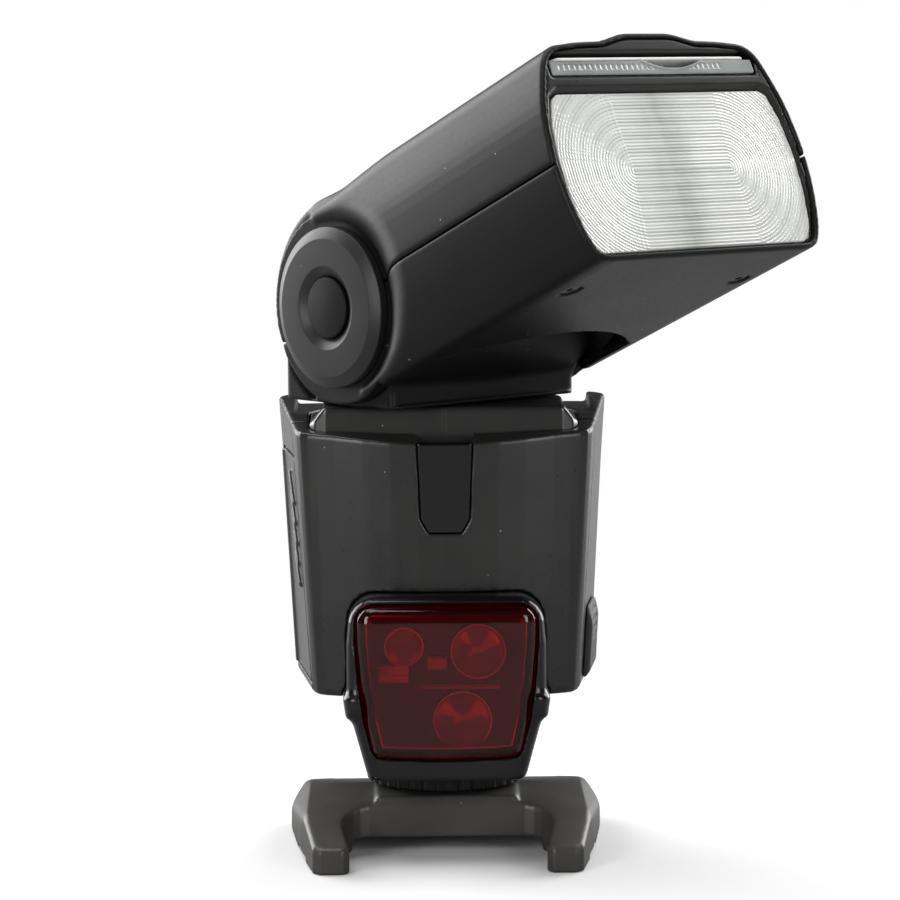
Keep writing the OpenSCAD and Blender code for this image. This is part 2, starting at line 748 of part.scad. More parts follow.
function lens_outline(grow) =
    both(concat([[0, lens_top + grow], [29.6, lens_top - 0.2 + grow], [31.6 + grow, lens_top - 1.8]],
    [for (i = [0:5]) let (v = 11 - 5.4 * i, s = (v + 3) / 17) [34.4 + grow - 2.6 * s * s, v]],
    [[30.4 + grow, lens_low + 0.6 - grow], [29, lens_low - grow], [0, lens_low - grow]]));

module fresnel_lens() color([0.95, 0.96, 0.97, 0.5]) head_pose()
    translate([0, -head_len + 1.2, 0]) rotate([-90, 0, 0]) mirror([0, 1, 0]) {
        linear_extrude(1.9) polygon(lens_outline(0));
    }

panel_half_w = 29.6;
module wide_panel() color([0.9, 0.92, 0.95, 0.5]) head_pose() {
    box([-panel_half_w, -head_len + 1.8, slot_low + 0.35],
        [panel_half_w, -head_len + 46, slot_low + 1.75]);
    box([-panel_half_w, -head_len + 0.6, slot_low + 0.35],
        [panel_half_w, -head_len + 1.9, slot_low + 3.5]);
}

module catchlight_panel() color("white") head_pose() {
    box([-panel_half_w + 1.2, -head_len + 0.7, slot_low + 3.7],
        [panel_half_w - 1.2, -head_len + 46, slot_low + 4.3]);
}

module hinge_cap(side) difference() {
    union() {
        x_rod(ear_x1 + 0.05, 33, cap_r);
        translate([33 - eps, 0, 0]) rotate([0, 90, 0])
            cylinder(r1 = cap_r, r2 = cap_flat_r, h = cap_x1 - 33 + eps);
    }
    if (side > 0) {
        x_rod(20, 40, button_r + 0.12);
        translate([cap_x1 - 1.2, 0, 0]) rotate([0, 90, 0])
            cylinder(r1 = button_r + 0.1, r2 = 9.6, h = 1.2 + eps);
    }
    x_rod(ear_x1 - 1, ear_x1 + 1, pin_r + 1);
}

module hinge_cap_left() color("#2b2b2d") head_pose() mirror([1, 0, 0]) hinge_cap(1);
module hinge_cap_right() color("#2b2b2d") head_pose() hinge_cap(-1);

module lock_button() color("#0c0c0c") head_pose() {
    x_rod(-33.8, -32.8, button_r);
    x_rod(-33, -18, 1.66);
    x_rod(-19.5, -18, 3.2);
}

module tilt_pins() color("silver") neck_pose() {
    difference() {
        x_rod(-ear_x1, -21.6, pin_r);
        x_rod(-50, 0, 1.72);
    }
    x_rod(21.6, ear_x1, pin_r);
}

// ---------------------------------------------------------------- flash tube and zoom drive

carriage_y = -47;
tube_v = -1.7;
screw_v = 4.4;

module reflector() color("silver") head_pose() translate([0, carriage_y, tube_v]) difference() {
    reflector_form(0);
    translate([0, -0.01, 0]) reflector_form(0.9);
    rotate([0, 90, 0]) cylinder(r = 3, h = 80, center = true);
}

module reflector_form(t) hull() {
    box([-23 + t, -20 - t, -14.5 + t], [23 - t, -19, 14.5 - t]);
    x_rod(-21 + t, 21 - t, 5.4 - t);
}

module flash_tube() color([0.9, 0.95, 1, 0.6]) head_pose() translate([0, carriage_y, tube_v]) {
    x_rod(-26.5, 26.5, 2.2);
}

module zoom_carriage() color("#333336") head_pose() translate([0, carriage_y, tube_v]) difference() {
    union() {
        mirror_pair() box([23.6, -6, -6], [28.4, 8, 7]);
        box([-28.4, 5.8, -12.4], [28.4, 8, 7]);
    }
    x_rod(-40, 40, 2.4);
    translate([26, 0, screw_v]) y_rod(-40, 40, 1.28);
    mirror_pair() translate([26, 0, -4.4]) y_rod(-40, 40, 1.06);
}

module zoom_screw() color("silver") head_pose() translate([26, 0, tube_v + screw_v])
    y_rod(carriage_y - 17, -30.6, 1.2);

module zoom_motor() color("#555558") head_pose() translate([26, 0, tube_v + screw_v])
    y_rod(-30.4, -24.6, 4);

module guide_rods() color("silver") head_pose() mirror_pair()
    translate([26, 0, tube_v - 4.4]) y_rod(-head_len + 5.4, -26, 1);

module head_screws() color("silver") head_pose() for (x = [-25, 25])
    translate([x, -66, -head_floor + 1.45]) {
        difference() {
            translate([0, 0, -1]) cylinder(r = 2.1, h = 0.9);
            translate([0, 0, -1.4]) cylinder(r = 0.9, h = 0.8, $fn = 6);
        }
        translate([0, 0, -0.2]) cylinder(r = 1, h = 3);
    }

module trigger_coil() color("#70501c") head_pose() translate([-14, -29, 17]) x_rod(-7, 7, 3.2);

// ---------------------------------------------------------------- nodes

stand_base();
tripod_nut();
foot_plate();
foot_insulator();
contact_pins();
lock_ring();
lock_pin();
mount_block();
front_cover();
rear_cover();
top_deck();
sensor_window();
assist_housing();
assist_window();
assist_board();
assist_lamps();
battery_box();
battery_cells();
battery_contacts();
battery_door();
door_hinge_pin();
main_capacitor();
main_board();
transformer();
lcd_module();
lcd_window();
light_button();
mode_button();
sync_button();
zoom_button();
test_button();
select_dial();
set_button();
power_switch();
slave_switch();
power_socket();
socket_cover();
case_screws();
neck();
swivel_retainer();
tilt_pins();
head_upper_shell();
head_lower_shell();
front_bezel();
fresnel_lens();
wide_panel();
catchlight_panel();
hinge_cap_left();
hinge_cap_right();
lock_button();
reflector();
flash_tube();
zoom_carriage();
zoom_screw();
zoom_motor();
guide_rods();
head_screws();
trigger_coil();
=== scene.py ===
import json
import math

import bmesh
import bpy
import numpy as np
from mathutils import Matrix, Vector


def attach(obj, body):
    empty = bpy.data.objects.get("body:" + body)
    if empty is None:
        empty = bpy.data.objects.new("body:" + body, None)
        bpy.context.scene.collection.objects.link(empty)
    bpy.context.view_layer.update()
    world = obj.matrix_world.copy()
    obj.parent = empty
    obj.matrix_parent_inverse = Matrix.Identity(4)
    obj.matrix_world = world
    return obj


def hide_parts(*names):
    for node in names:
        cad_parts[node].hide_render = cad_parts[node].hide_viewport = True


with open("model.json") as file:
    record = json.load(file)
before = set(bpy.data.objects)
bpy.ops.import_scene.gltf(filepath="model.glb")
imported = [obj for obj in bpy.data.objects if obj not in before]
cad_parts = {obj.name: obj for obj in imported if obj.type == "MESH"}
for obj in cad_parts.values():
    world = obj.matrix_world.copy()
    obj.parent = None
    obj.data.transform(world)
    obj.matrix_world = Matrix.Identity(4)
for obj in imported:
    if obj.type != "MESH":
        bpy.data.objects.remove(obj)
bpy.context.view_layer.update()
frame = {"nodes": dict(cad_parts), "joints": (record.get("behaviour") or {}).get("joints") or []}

MM = 0.001
JOINTS = {j["name"]: j for j in frame["joints"]}
PIVOT = np.array(JOINTS["head_tilt"]["pos_m"], float) * 1000
LATERAL = -np.array(JOINTS["head_tilt"]["axis"], float)
FORWARD = np.array(JOINTS["zoom_travel"]["axis"], float)
UP = np.cross(LATERAL, -FORWARD)
FLAT_FWD = np.array([FORWARD[0], FORWARD[1], 0.0])
FLAT_FWD /= np.linalg.norm(FLAT_FWD)
HEAD_AXES = (LATERAL, -FORWARD, UP)
NECK_AXES = (LATERAL, -FLAT_FWD, np.array([0.0, 0.0, 1.0]))
ROW_AXES = (np.array([1.0, 0, 0]), np.array([0, 1.0, 0]), np.array([0, 0, 1.0]))
ORIGIN = np.zeros(3)


# ------------------------------------------------------------------ fields

def clip01(t):
    return np.clip(t, 0.0, 1.0)


def smoothstep(a, b, t):
    s = clip01((t - a) / (b - a))
    return s * s * (3 - 2 * s)


def smin(a, b, k):
    h = np.maximum(k - np.abs(a - b), 0.0) / k
    return np.minimum(a, b) - h * h * k * 0.25


def smax(a, b, k):
    return -smin(-a, -b, k)


def poly(px, py, pts):
    """Signed distance to a closed outline, negative inside."""
    pts = np.asarray(pts, float)
    shape = np.broadcast_shapes(np.shape(px), np.shape(py))
    best = np.full(shape, 1e12)
    inside = np.zeros(shape, bool)
    a = pts[-1]
    for b in pts:
        ex, ey = b - a
        wx, wy = px - a[0], py - a[1]
        t = clip01((wx * ex + wy * ey) / (ex * ex + ey * ey))
        best = np.minimum(best, (wx - ex * t) ** 2 + (wy - ey * t) ** 2)
        if ey != 0:
            cross = ((a[1] <= py) & (b[1] > py)) | ((b[1] <= py) & (a[1] > py))
            inside ^= cross & (px < a[0] + (py - a[1]) / ey * ex)
        a = b
    d = np.sqrt(best)
    return np.where(inside, -d, d)


def box2(px, py, x0, x1, y0, y1, k):
    return smax(smax(x0 - px, px - x1, k), smax(y0 - py, py - y1, k), k)


def box3(x, y, z, lo, hi, k=0.3):
    d = smax(smax(lo[0] - x, x - hi[0], k), smax(lo[1] - y, y - hi[1], k), k)
    return smax(d, smax(lo[2] - z, z - hi[2], k), k)


def spline(pts, n):
    """A smooth curve through the points (Catmull-Rom), n samples a span."""
    p = np.asarray(pts, float)
    p = np.vstack([2 * p[0] - p[1], p, 2 * p[-1] - p[-2]])
    out = []
    for i in range(1, len(p) - 2):
        for t in np.arange(n) / n:
            a, b, c, d = p[i - 1], p[i], p[i + 1], p[i + 2]
            out.append(0.5 * (2 * b + (c - a) * t + (2 * a - 5 * b + 4 * c - d) * t * t
                              + (3 * b - 3 * c + d - a) * t ** 3))
    out.append(p[-2])
    return np.array(out)


def both(pts):
    """Mirrors a right-hand outline into a closed one."""
    pts = [tuple(p) for p in pts]
    return pts + [(-x, y) for x, y in reversed(pts) if abs(x) > 1e-6]


def lerp_grid(f, lo, h, v):
    """f and its gradient at the points v, from its samples on a grid."""
    g = (v - lo) / h
    i = np.clip(np.floor(g).astype(int), 0, np.array(f.shape) - 2)
    t = g - i
    c = {}
    for a in (0, 1):
        for b in (0, 1):
            for d in (0, 1):
                c[a, b, d] = f[i[:, 0] + a, i[:, 1] + b, i[:, 2] + d]
    tx, ty, tz = t.T
    x0 = {k: c[(0,) + k] * (1 - tx) + c[(1,) + k] * tx for k in ((0, 0), (0, 1), (1, 0), (1, 1))}
    gx = ((c[1, 0, 0] - c[0, 0, 0]) * (1 - ty) + (c[1, 1, 0] - c[0, 1, 0]) * ty) * (1 - tz) + \
         ((c[1, 0, 1] - c[0, 0, 1]) * (1 - ty) + (c[1, 1, 1] - c[0, 1, 1]) * ty) * tz
    gy = (x0[1, 0] - x0[0, 0]) * (1 - tz) + (x0[1, 1] - x0[0, 1]) * tz
    y0 = x0[0, 0] * (1 - ty) + x0[1, 0] * ty
    y1 = x0[0, 1] * (1 - ty) + x0[1, 1] * ty
    return y0 * (1 - tz) + y1 * tz, np.stack([gx, gy, y1 - y0], 1) / h


def net(field, lo, hi, h):
    """Surface of field = 0 inside a box, as vertices, normals and quads (surface nets)."""
    lo, hi = np.asarray(lo, float) - 2 * h, np.asarray(hi, float) + 2 * h
    n = np.ceil((hi - lo) / h).astype(int) + 1
    xs, ys, zs = (lo[i] + h * np.arange(n[i]) for i in range(3))
    f = np.array(np.broadcast_to(field(xs[:, None, None], ys[None, :, None], zs[None, None, :]), n),
        np.float64)
    for ax in range(3):
        edge = [slice(None)] * 3
        for e in (0, -1):
            edge[ax] = e
            f[tuple(edge)] = np.maximum(f[tuple(edge)], h * 0.5)
    neg = f < 0
    cells = n - 1
    total = int(np.prod(cells))
    acc, cnt, quads = np.zeros((total, 3)), np.zeros(total), []
    for ax in range(3):
        s0, s1 = [slice(None)] * 3, [slice(None)] * 3
        s0[ax], s1[ax] = slice(0, -1), slice(1, None)
        idx = np.argwhere(neg[tuple(s0)] != neg[tuple(s1)])
        f0, f1 = f[tuple(s0)][tuple(idx.T)], f[tuple(s1)][tuple(idx.T)]
        p = idx.astype(float)
        p[:, ax] += f0 / (f0 - f1)
        p = lo + p * h
        b, c = (ax + 1) % 3, (ax + 2) % 3
        ring = []
        for db, dc in ((-1, -1), (0, -1), (0, 0), (-1, 0)):
            cell = idx.copy()
            cell[:, b] += db
            cell[:, c] += dc
            flat = (cell[:, 0] * cells[1] + cell[:, 1]) * cells[2] + cell[:, 2]
            ring.append(flat)
            for k in range(3):
                acc[:, k] += np.bincount(flat, p[:, k], total)
            cnt += np.bincount(flat, minlength=total)
        q = np.stack(ring, 1)
        flip = f0 >= 0
        q[flip] = q[flip][:, ::-1]
        quads.append(q)
    used = np.nonzero(cnt)[0]
    v = acc[used] / cnt[used, None]
    remap = np.full(total, -1)
    remap[used] = np.arange(len(used))
    quads = remap[np.concatenate(quads)]
    start = v.copy()
    for _ in range(3):
        val, g = lerp_grid(f, lo, h, v)
        step = val[:, None] * g / np.maximum((g * g).sum(1), 1e-6)[:, None]
        v = start + np.clip(v - step - start, -0.6 * h, 0.6 * h)
    _, g = lerp_grid(f, lo, h, v)
    g /= np.maximum(np.linalg.norm(g, axis=1), 1e-9)[:, None]
    return v, g, quads


# ------------------------------------------------------------------ pieces

def to_row(v, axes, origin):
    return (v[:, :1] * axes[0] + v[:, 1:2] * axes[1] + v[:, 2:3] * axes[2] + origin) * MM


def piece(name, v, faces, body, mat, normals=None, replaces=(), smooth=True, angle=None, local=None):
    mesh = bpy.data.meshes.new(name)
    mesh.from_pydata(v.tolist(), [], faces if isinstance(faces, list) else faces.tolist())
    if local is not None:
        mesh.attributes.new("local", "FLOAT_VECTOR", "POINT").data.foreach_set(
            "vector", np.asarray(local, np.float32).ravel())
    mesh.polygons.foreach_set("use_smooth", [smooth] * len(mesh.polygons))
    if angle is not None:
        mesh.set_sharp_from_angle(angle=math.radians(angle))
    if normals is not None:
        mesh.normals_split_custom_set_from_vertices(normals.tolist())
    mesh.materials.append(mat)
    obj = bpy.data.objects.new(name, mesh)
    bpy.context.scene.collection.objects.link(obj)
    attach(obj, body)
    if replaces:
        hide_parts(*replaces)
    return obj


def sculpt(name, field, lo, hi, h, body, mat, axes=ROW_AXES, origin=ORIGIN, replaces=()):
    """A piece from a field given in millimetres in its own axes."""
    v, g, q = net(field, lo, hi, h)
    if np.linalg.det(np.array(axes)) < 0:
        q = q[:, ::-1]
    n = g[:, :1] * axes[0] + g[:, 1:2] * axes[1] + g[:, 2:3] * axes[2]
    return piece(name, to_row(v, axes, origin), q, body, mat, n, replaces, local=v)


def lathe(name, profile, n, body, mat, axes, origin, replaces=(), closed=True, angle=30):
    """Turns (radius, along) points about the third of the axes."""
    prof = np.asarray(profile, float)
    a = np.linspace(0, 2 * math.pi, n, endpoint=False)
    v = np.stack([prof[:, 0, None] * np.cos(a), prof[:, 0, None] * np.sin(a),
                  np.repeat(prof[:, 1, None], n, 1)], 2).reshape(-1, 3)
    rows = len(prof)
    faces = []
    for i in range(rows if closed else rows - 1):
        j = (i + 1) % rows
        for k in range(n):
            m = (k + 1) % n
            faces.append((i * n + k, i * n + m, j * n + m, j * n + k))
    obj = piece(name, to_row(v, axes, origin), faces, body, mat, None, replaces)
    bm = bmesh.new()
    bm.from_mesh(obj.data)
    bmesh.ops.remove_doubles(bm, verts=bm.verts, dist=1e-6)
    bmesh.ops.recalc_face_normals(bm, faces=bm.faces)
    bm.to_mesh(obj.data)
    bm.free()
    obj.data.set_sharp_from_angle(angle=math.radians(angle))
    return obj


def arc(cx, cy, r, a0, a1, n=5):
    return [(cx + r * math.cos(math.radians(t)), cy + r * math.sin(math.radians(t)))
            for t in np.linspace(a0, a1, n)]


# ------------------------------------------------------------------ materials

class Nodes:
    """Small helper that builds a node tree from the output back."""

    def __init__(self, name):
        self.mat = bpy.data.materials.new(name)
        self.mat.use_nodes = True
        self.tree = self.mat.node_tree
        self.tree.nodes.clear()
        self.out = self.tree.nodes.new("ShaderNodeOutputMaterial")

    def add(self, kind, **values):
        node = self.tree.nodes.new("ShaderNode" + kind)
        for key, val in values.items():
            if hasattr(node, key) and key not in node.inputs:
                setattr(node, key, val)
            else:
                self.put(node, key.replace("_", " ") if key.replace("_", " ") in node.inputs else key, val)
        return node

    def put(self, node, key, val):
        if isinstance(val, bpy.types.NodeSocket):
            self.tree.links.new(val, node.inputs[key])
        elif isinstance(val, bpy.types.Node):
            self.tree.links.new(val.outputs[0], node.inputs[key])
        else:
            node.inputs[key].default_value = val

    def coords(self, scale=1.0, stretch=(1, 1, 1)):
        tc = self.add("TexCoord")
        mp = self.add("Mapping")
        self.put(mp, "Vector", tc.outputs["Object"])
        mp.inputs["Scale"].default_value = tuple(scale * s for s in stretch)
        return mp.outputs[0]

    def local(self):
        """The piece's own coordinates in millimetres, split into x, y and z."""
        at = self.add("Attribute")
        at.attribute_name = "local"
        sep = self.add("SeparateXYZ")
        self.put(sep, "Vector", at.outputs["Vector"])
        return sep.outputs

    def noise(self, scale, detail=3.0, rough=0.55, stretch=(1, 1, 1)):
        n = self.add("TexNoise")
        self.put(n, "Vector", self.coords(1.0, stretch))
        n.inputs["Scale"].default_value = scale
        n.inputs["Detail"].default_value = detail
        n.inputs["Roughness"].default_value = rough
        return n.outputs["Fac"]

    def ramp(self, fac, stops):
        r = self.add("ValToRGB")
        self.put(r, "Fac", fac)
        els = r.color_ramp.elements
        while len(els) > 1:
            els.remove(els[-1])
        els[0].position, els[0].color = stops[0][0], stops[0][1]
        for pos, col in stops[1:]:
            e = els.new(pos)
            e.color = col
        return r.outputs["Color"]

    def math(self, op, a, b=0.0, c=0.0):
        m = self.add("Math")
        m.operation = op
        for i, val in enumerate((a, b, c)):
            self.put(m, i, val)
        return m.outputs[0]

    def bump(self, height, strength, distance, normal=None):
        b = self.add("Bump")
        self.put(b, "Height", height)
        b.inputs["Strength"].default_value = strength
        b.inputs["Distance"].default_value = distance
        if normal is not None:
            self.put(b, "Normal", normal)
        return b.outputs[0]

    def finish(self, shader):
        self.tree.links.new(shader if isinstance(shader, bpy.types.NodeSocket) else shader.outputs[0],
                            self.out.inputs["Surface"])
        return self.mat


def grey(v, a=1.0):
    return (v, v, v, a)


def plastic(name, base, rough, grain=0.25, grain_scale=2600, warm=(1, 1, 1), dust=0.0, rounding=0.0,
    spec=0.5):
    """Moulded plastic: spark grain, faint blotches in tone and gloss, dust specks, softened edges."""
    n = Nodes(name)
    blotch = n.noise(45, 4)
    fine = n.noise(900, 2)
    tone = n.ramp(blotch, [(at, tuple(base * k * w for w in warm) + (1,)) for at,
        k in ((0.3, 0.8), (0.7, 1.25))])
    if dust:
        specks = n.add("TexVoronoi", feature="F1")
        n.put(specks, "Vector", n.coords(1.0))
        specks.inputs["Scale"].default_value = 260
        near = n.math("LESS_THAN", specks.outputs["Distance"], 0.055)
        keep = n.math("GREATER_THAN", n.noise(130, 0), 0.60)
        amount = n.math("MULTIPLY", n.math("MULTIPLY", near, keep), dust)
        mix = n.add("MixRGB")
        n.put(mix, "Fac", amount)
        n.put(mix, "Color1", tone)
        n.put(mix, "Color2", (0.42, 0.41, 0.38, 1))
        tone = mix.outputs[0]
    r = n.math("MULTIPLY_ADD", fine, 0.12, rough - 0.06)
    r = n.math("MULTIPLY_ADD", blotch, 0.10, n.math("SUBTRACT", r, 0.05))
    normal = None
    if rounding:
        bv = n.add("Bevel", samples=4)
        bv.inputs["Radius"].default_value = rounding * MM
        normal = bv.outputs[0]
    height = n.noise(grain_scale, 2, 0.5)
    nrm = n.bump(height, grain, 0.00006, normal)
    p = n.add("BsdfPrincipled")
    n.put(p, "Base Color", tone)
    n.put(p, "Roughness", r)
    n.put(p, "Normal", nrm)
    p.inputs["Specular IOR Level"].default_value = spec
    return n.finish(p)


def metal(name, col, rough, brush=(1, 1, 40), scale=300):
    """Brushed metal: streaks in tone, gloss and height."""
    n = Nodes(name)
    streak = n.noise(scale, 3, 0.6, brush)
    tone = n.ramp(streak, [(0.3, tuple(c * 0.78 for c in col) + (1,)), (0.7, tuple(col) + (1,))])
    p = n.add("BsdfPrincipled")
    n.put(p, "Base Color", tone)
    p.inputs["Metallic"].default_value = 1.0
    n.put(p, "Roughness", n.math("MULTIPLY_ADD", streak, 0.25, rough - 0.1))
    n.put(p, "Normal", n.bump(streak, 0.15, 0.00005))
    return n.finish(p)


def scaled(col, k):
    """A colour made k times as bright, with its alpha."""
    return tuple(min(1, c * k) for c in col) + (1,)


def painted(name, col, rough, scale=180, spread=0.3, bump=0.2):
    """Coated or printed surface: mottled tone and gloss over a fine bump."""
    n = Nodes(name)
    f = n.noise(scale, 4)
    tone = n.ramp(f, [(0.3, scaled(col, 1 - spread)), (0.7, scaled(col, 1 + spread))])
    p = n.add("BsdfPrincipled")
    n.put(p, "Base Color", tone)
    n.put(p, "Roughness", n.math("MULTIPLY_ADD", f, 0.2, rough - 0.1))
    n.put(p, "Normal", n.bump(n.noise(scale * 8, 2), bump, 0.00005))
    return n.finish(p)


SATIN = plastic("satin_black", 0.017, 0.30, 0.14, 2400, (1.0, 0.985, 0.94), dust=0.5, spec=0.45)
HEADM = plastic("head_black", 0.005, 0.42, 0.26, 2200, (1.0, 0.985, 0.93), dust=0.7, spec=0.20)
GLOSS = plastic("gloss_black", 0.003, 0.12, 0.05, 1500, dust=0.2)
SEMI = plastic("semi_gloss_black", 0.005, 0.22, 0.08, 2000, (1, 0.99, 0.97), dust=0.3, spec=0.42)
CAPM = plastic("cap_black", 0.020, 0.40, 0.25, 2200, (1, 1, 0.98), dust=0.25, spec=0.30)
DECKM = plastic("deck_black", 0.022, 0.24, 0.06, 2000, (1, 0.985, 0.94), dust=0.5, spec=0.55)
NECKM = plastic("neck_black", 0.004, 0.42, 0.2, 2400, dust=0.3, spec=0.18)
STANDM = plastic("stand_grey", 0.042, 0.38, 0.35, 1500, (1.0, 0.95, 0.89), dust=0.3, spec=0.45)
NODEM = plastic("satin_black_small", 0.008, 0.42, 0.25, 2400, rounding=0.35, spec=0.38)
KEYM = plastic("key_grey", 0.05, 0.42, 0.2, 2400, rounding=0.4, spec=0.4)


# The lens ribs run straight across the middle and close in half rings at both ends.
RIB_PITCH = 0.75
RIB_STRAIGHT = 14.0
RIB_CENTRE_V = -2.2
# painted reflection: centre and half width of the greyer streak band down the middle of the lens
REFLECTION_STREAK_U = -3.0
REFLECTION_STREAK_HALF_W = 9.0


def lens_material():
    """Ribbed lens over a bright reflector: white, with a painted reflection as greyer streaks in the middle
    and painted shade lines along the ribs.
    """
    n = Nodes("fresnel_white")
    u, y, v = n.local()
    au = n.math("ABSOLUTE", u)
    # painted reflection: greyer streaks in the middle of the lens, strongest at its centre line
    band = n.math("MULTIPLY_ADD", n.noise(75, 3, 0.6, (1, 1, 0.45)), 2.4, -0.75)
    off = n.math("ABSOLUTE", n.math("SUBTRACT", u, REFLECTION_STREAK_U))
    mid = n.math("SUBTRACT", 1.0, n.math("SMOOTH_MIN", n.math("DIVIDE", off, REFLECTION_STREAK_HALF_W), 1.0, 0.4))
    painted_reflection_grey = n.math("MULTIPLY", n.math("MAXIMUM", mid, 0.0), n.math("MULTIPLY_ADD", band, 0.8, 0.25))
    dx = n.math("MAXIMUM", n.math("SUBTRACT", au, RIB_STRAIGHT), 0.0)
    dv = n.math("SUBTRACT", v, RIB_CENTRE_V)
    ring = n.math("SQRT", n.math("ADD", n.math("MULTIPLY", dx, dx), n.math("MULTIPLY", dv, dv)))
    arcs = n.math("MULTIPLY_ADD", n.math("SINE", n.math("MULTIPLY", ring, 2 * math.pi / RIB_PITCH)), 0.5,
        0.5)
    # painted shade: dark lines along the rib rings, swelling and fading in a slow moiré, darken the lens
    # colour
    painted_moire = n.math("MULTIPLY_ADD", n.math("SINE", n.math("MULTIPLY", ring, 1.9)), 0.5, 0.5)
    lines = n.math("MULTIPLY", n.math("MULTIPLY", arcs, painted_moire), 0.24)
    dark = n.math("ADD", n.math("MULTIPLY", painted_reflection_grey, 0.42), lines)
    tone = n.ramp(dark, [(0.0, (0.72, 0.73, 0.71, 1)), (0.35, (0.42, 0.44, 0.41, 1)),
                         (0.8, (0.14, 0.155, 0.13, 1))])
    p = n.add("BsdfPrincipled")
    n.put(p, "Base Color", tone)
    p.inputs["Roughness"].default_value = 0.22
    p.inputs["Coat Weight"].default_value = 0.6
    p.inputs["Coat Roughness"].default_value = 0.05
    n.put(p, "Normal", n.bump(arcs, 0.25, 0.0001))
    return n.finish(p)


def tinted(name, tint, deep, gloss, clear, ribs=None):
    """See-through plastic: a tinted film, some body colour and a mirror-like skin."""
    n = Nodes(name)
    cloud = n.noise(70, 3)
    tr = n.add("BsdfTransparent")
    film = [(0.3, tuple(c * 0.85 for c in tint) + (1,)), (0.7, tuple(tint) + (1,))]
    n.put(tr, "Color", n.ramp(cloud, film))
    di = n.add("BsdfPrincipled")
    mass = [(0.3, tuple(c * 0.8 for c in deep) + (1,)), (0.7, tuple(c * 1.2 for c in deep) + (1,))]
    n.put(di, "Base Color", n.ramp(cloud, mass))
    n.put(di, "Roughness", n.math("MULTIPLY_ADD", cloud, 0.1, gloss))
    if ribs:
        _, y, v = n.local()
        wave = n.math("SINE", n.math("MULTIPLY", y, 6.2832 / ribs))
        n.put(di, "Normal", n.bump(wave, 0.6, 0.0002))
    mx = n.add("MixShader")
    mx.inputs[0].default_value = clear
    n.put(mx, 1, di.outputs[0])
    n.put(mx, 2, tr.outputs[0])
    gl = n.add("BsdfGlossy")
    gl.inputs["Roughness"].default_value = gloss
    fr = n.add("Fresnel")
    fr.inputs["IOR"].default_value = 1.5
    top = n.add("MixShader")
    n.put(top, 0, fr.outputs[0])
    n.put(top, 1, mx.outputs[0])
    n.put(top, 2, gl.outputs[0])
    return n.finish(top)


def lcd_material():
    """Unlit display under its window: grey-green with a faint cell grid."""
    n = Nodes("lcd_face")
    f = n.noise(40, 2)
    grid = n.add("TexChecker")
    n.put(grid, "Vector", n.coords(1.0))
    grid.inputs["Scale"].default_value = 500
    tone = n.ramp(f, [(0.2, (0.24, 0.27, 0.20, 1)), (0.8, (0.33, 0.37, 0.28, 1))])
    mix = n.add("MixRGB", blend_type="MULTIPLY")
    mix.inputs["Fac"].default_value = 0.12
    n.put(mix, "Color1", tone)
    n.put(mix, "Color2", grid.outputs["Color"])
    p = n.add("BsdfPrincipled")
    n.put(p, "Base Color", mix.outputs[0])
    p.inputs["Roughness"].default_value = 0.35
    return n.finish(p)


LENS = lens_material()
RED = tinted("red_window", (0.95, 0.035, 0.045), (0.16, 0.0, 0.0), 0.035, 0.93)
CLEAR = tinted("clear_plastic", (0.86, 0.88, 0.88), (0.55, 0.57, 0.57), 0.12, 0.45, ribs=1.2)
GLASS = tinted("tube_glass", (0.92, 0.95, 0.95), (0.6, 0.6, 0.6), 0.03, 0.8)
SMOKE = tinted("display_window", (0.55, 0.57, 0.56), (0.05, 0.055, 0.05), 0.05, 0.8)
ORANGE = tinted("lamp_orange", (0.9, 0.3, 0.08), (0.55, 0.13, 0.02), 0.15, 0.35)
CARD = painted("white_card", (0.86, 0.86, 0.84), 0.5, 300, 0.05, 0.1)
CHROME = metal("bright_metal", (0.86, 0.87, 0.88), 0.18)
STEEL = metal("foot_metal", (0.62, 0.62, 0.63), 0.32)
BRASS = metal("brass_insert", (0.72, 0.55, 0.28), 0.35)
GOLD = metal("contact_gold", (0.9, 0.7, 0.32), 0.25)
BOARD = painted("circuit_board", (0.02, 0.11, 0.05), 0.4, 400, 0.35)
CELL = painted("cell_sleeve", (0.10, 0.11, 0.13), 0.3, 90, 0.25)
CAPSLEEVE = painted("capacitor_sleeve", (0.015, 0.015, 0.02), 0.28, 90, 0.3)
WOUND = painted("wound_part", (0.30, 0.15, 0.05), 0.45, 900, 0.4, 0.5)
MOTOR = painted("motor_case", (0.35, 0.35, 0.37), 0.35, 200, 0.15)
INNER = plastic("inner_black", 0.02, 0.5, 0.3, 1800)
# painted highlight: the clear light guides are an opaque light grey so they show as bright lines behind the
# red window
GUIDE_PAINTED_GLINT = painted("light_guide", (0.55, 0.53, 0.51), 0.3, 220, 0.2)
BUTTONM = plastic("button_black", 0.004, 0.5, 0.1, 2400, spec=0.16)
BLACKENED = metal("blackened_screw", (0.06, 0.06, 0.065), 0.35)
RUBBER = plastic("flap_rubber", 0.022, 0.62, 0.5, 1600, dust=0.5)
LCD = lcd_material()

NODE_LOOKS = (
    (NODEM, "mount_block"),
    (INNER, "foot_insulator battery_box zoom_carriage power_socket"),
    (STEEL, "foot_plate lock_pin case_screws swivel_retainer tilt_pins door_hinge_pin guide_rods "
            "zoom_screw battery_contacts"),
    (BLACKENED, "head_screws"),
    (CHROME, "reflector"),
    (BRASS, "tripod_nut"),
    (GOLD, "contact_pins"),
    (BOARD, "assist_board main_board"),
    (CELL, "battery_cells"),
    (CAPSLEEVE, "main_capacitor"),
    (WOUND, "transformer trigger_coil"),
    (MOTOR, "zoom_motor"),
    (LCD, "lcd_module"),
    (GLASS, "flash_tube"),
)
for look, names in NODE_LOOKS:
    for node_name in names.split():
        mesh = frame["nodes"][node_name].data
        mesh.materials.clear()
        mesh.materials.append(look)


# ------------------------------------------------------------------ head

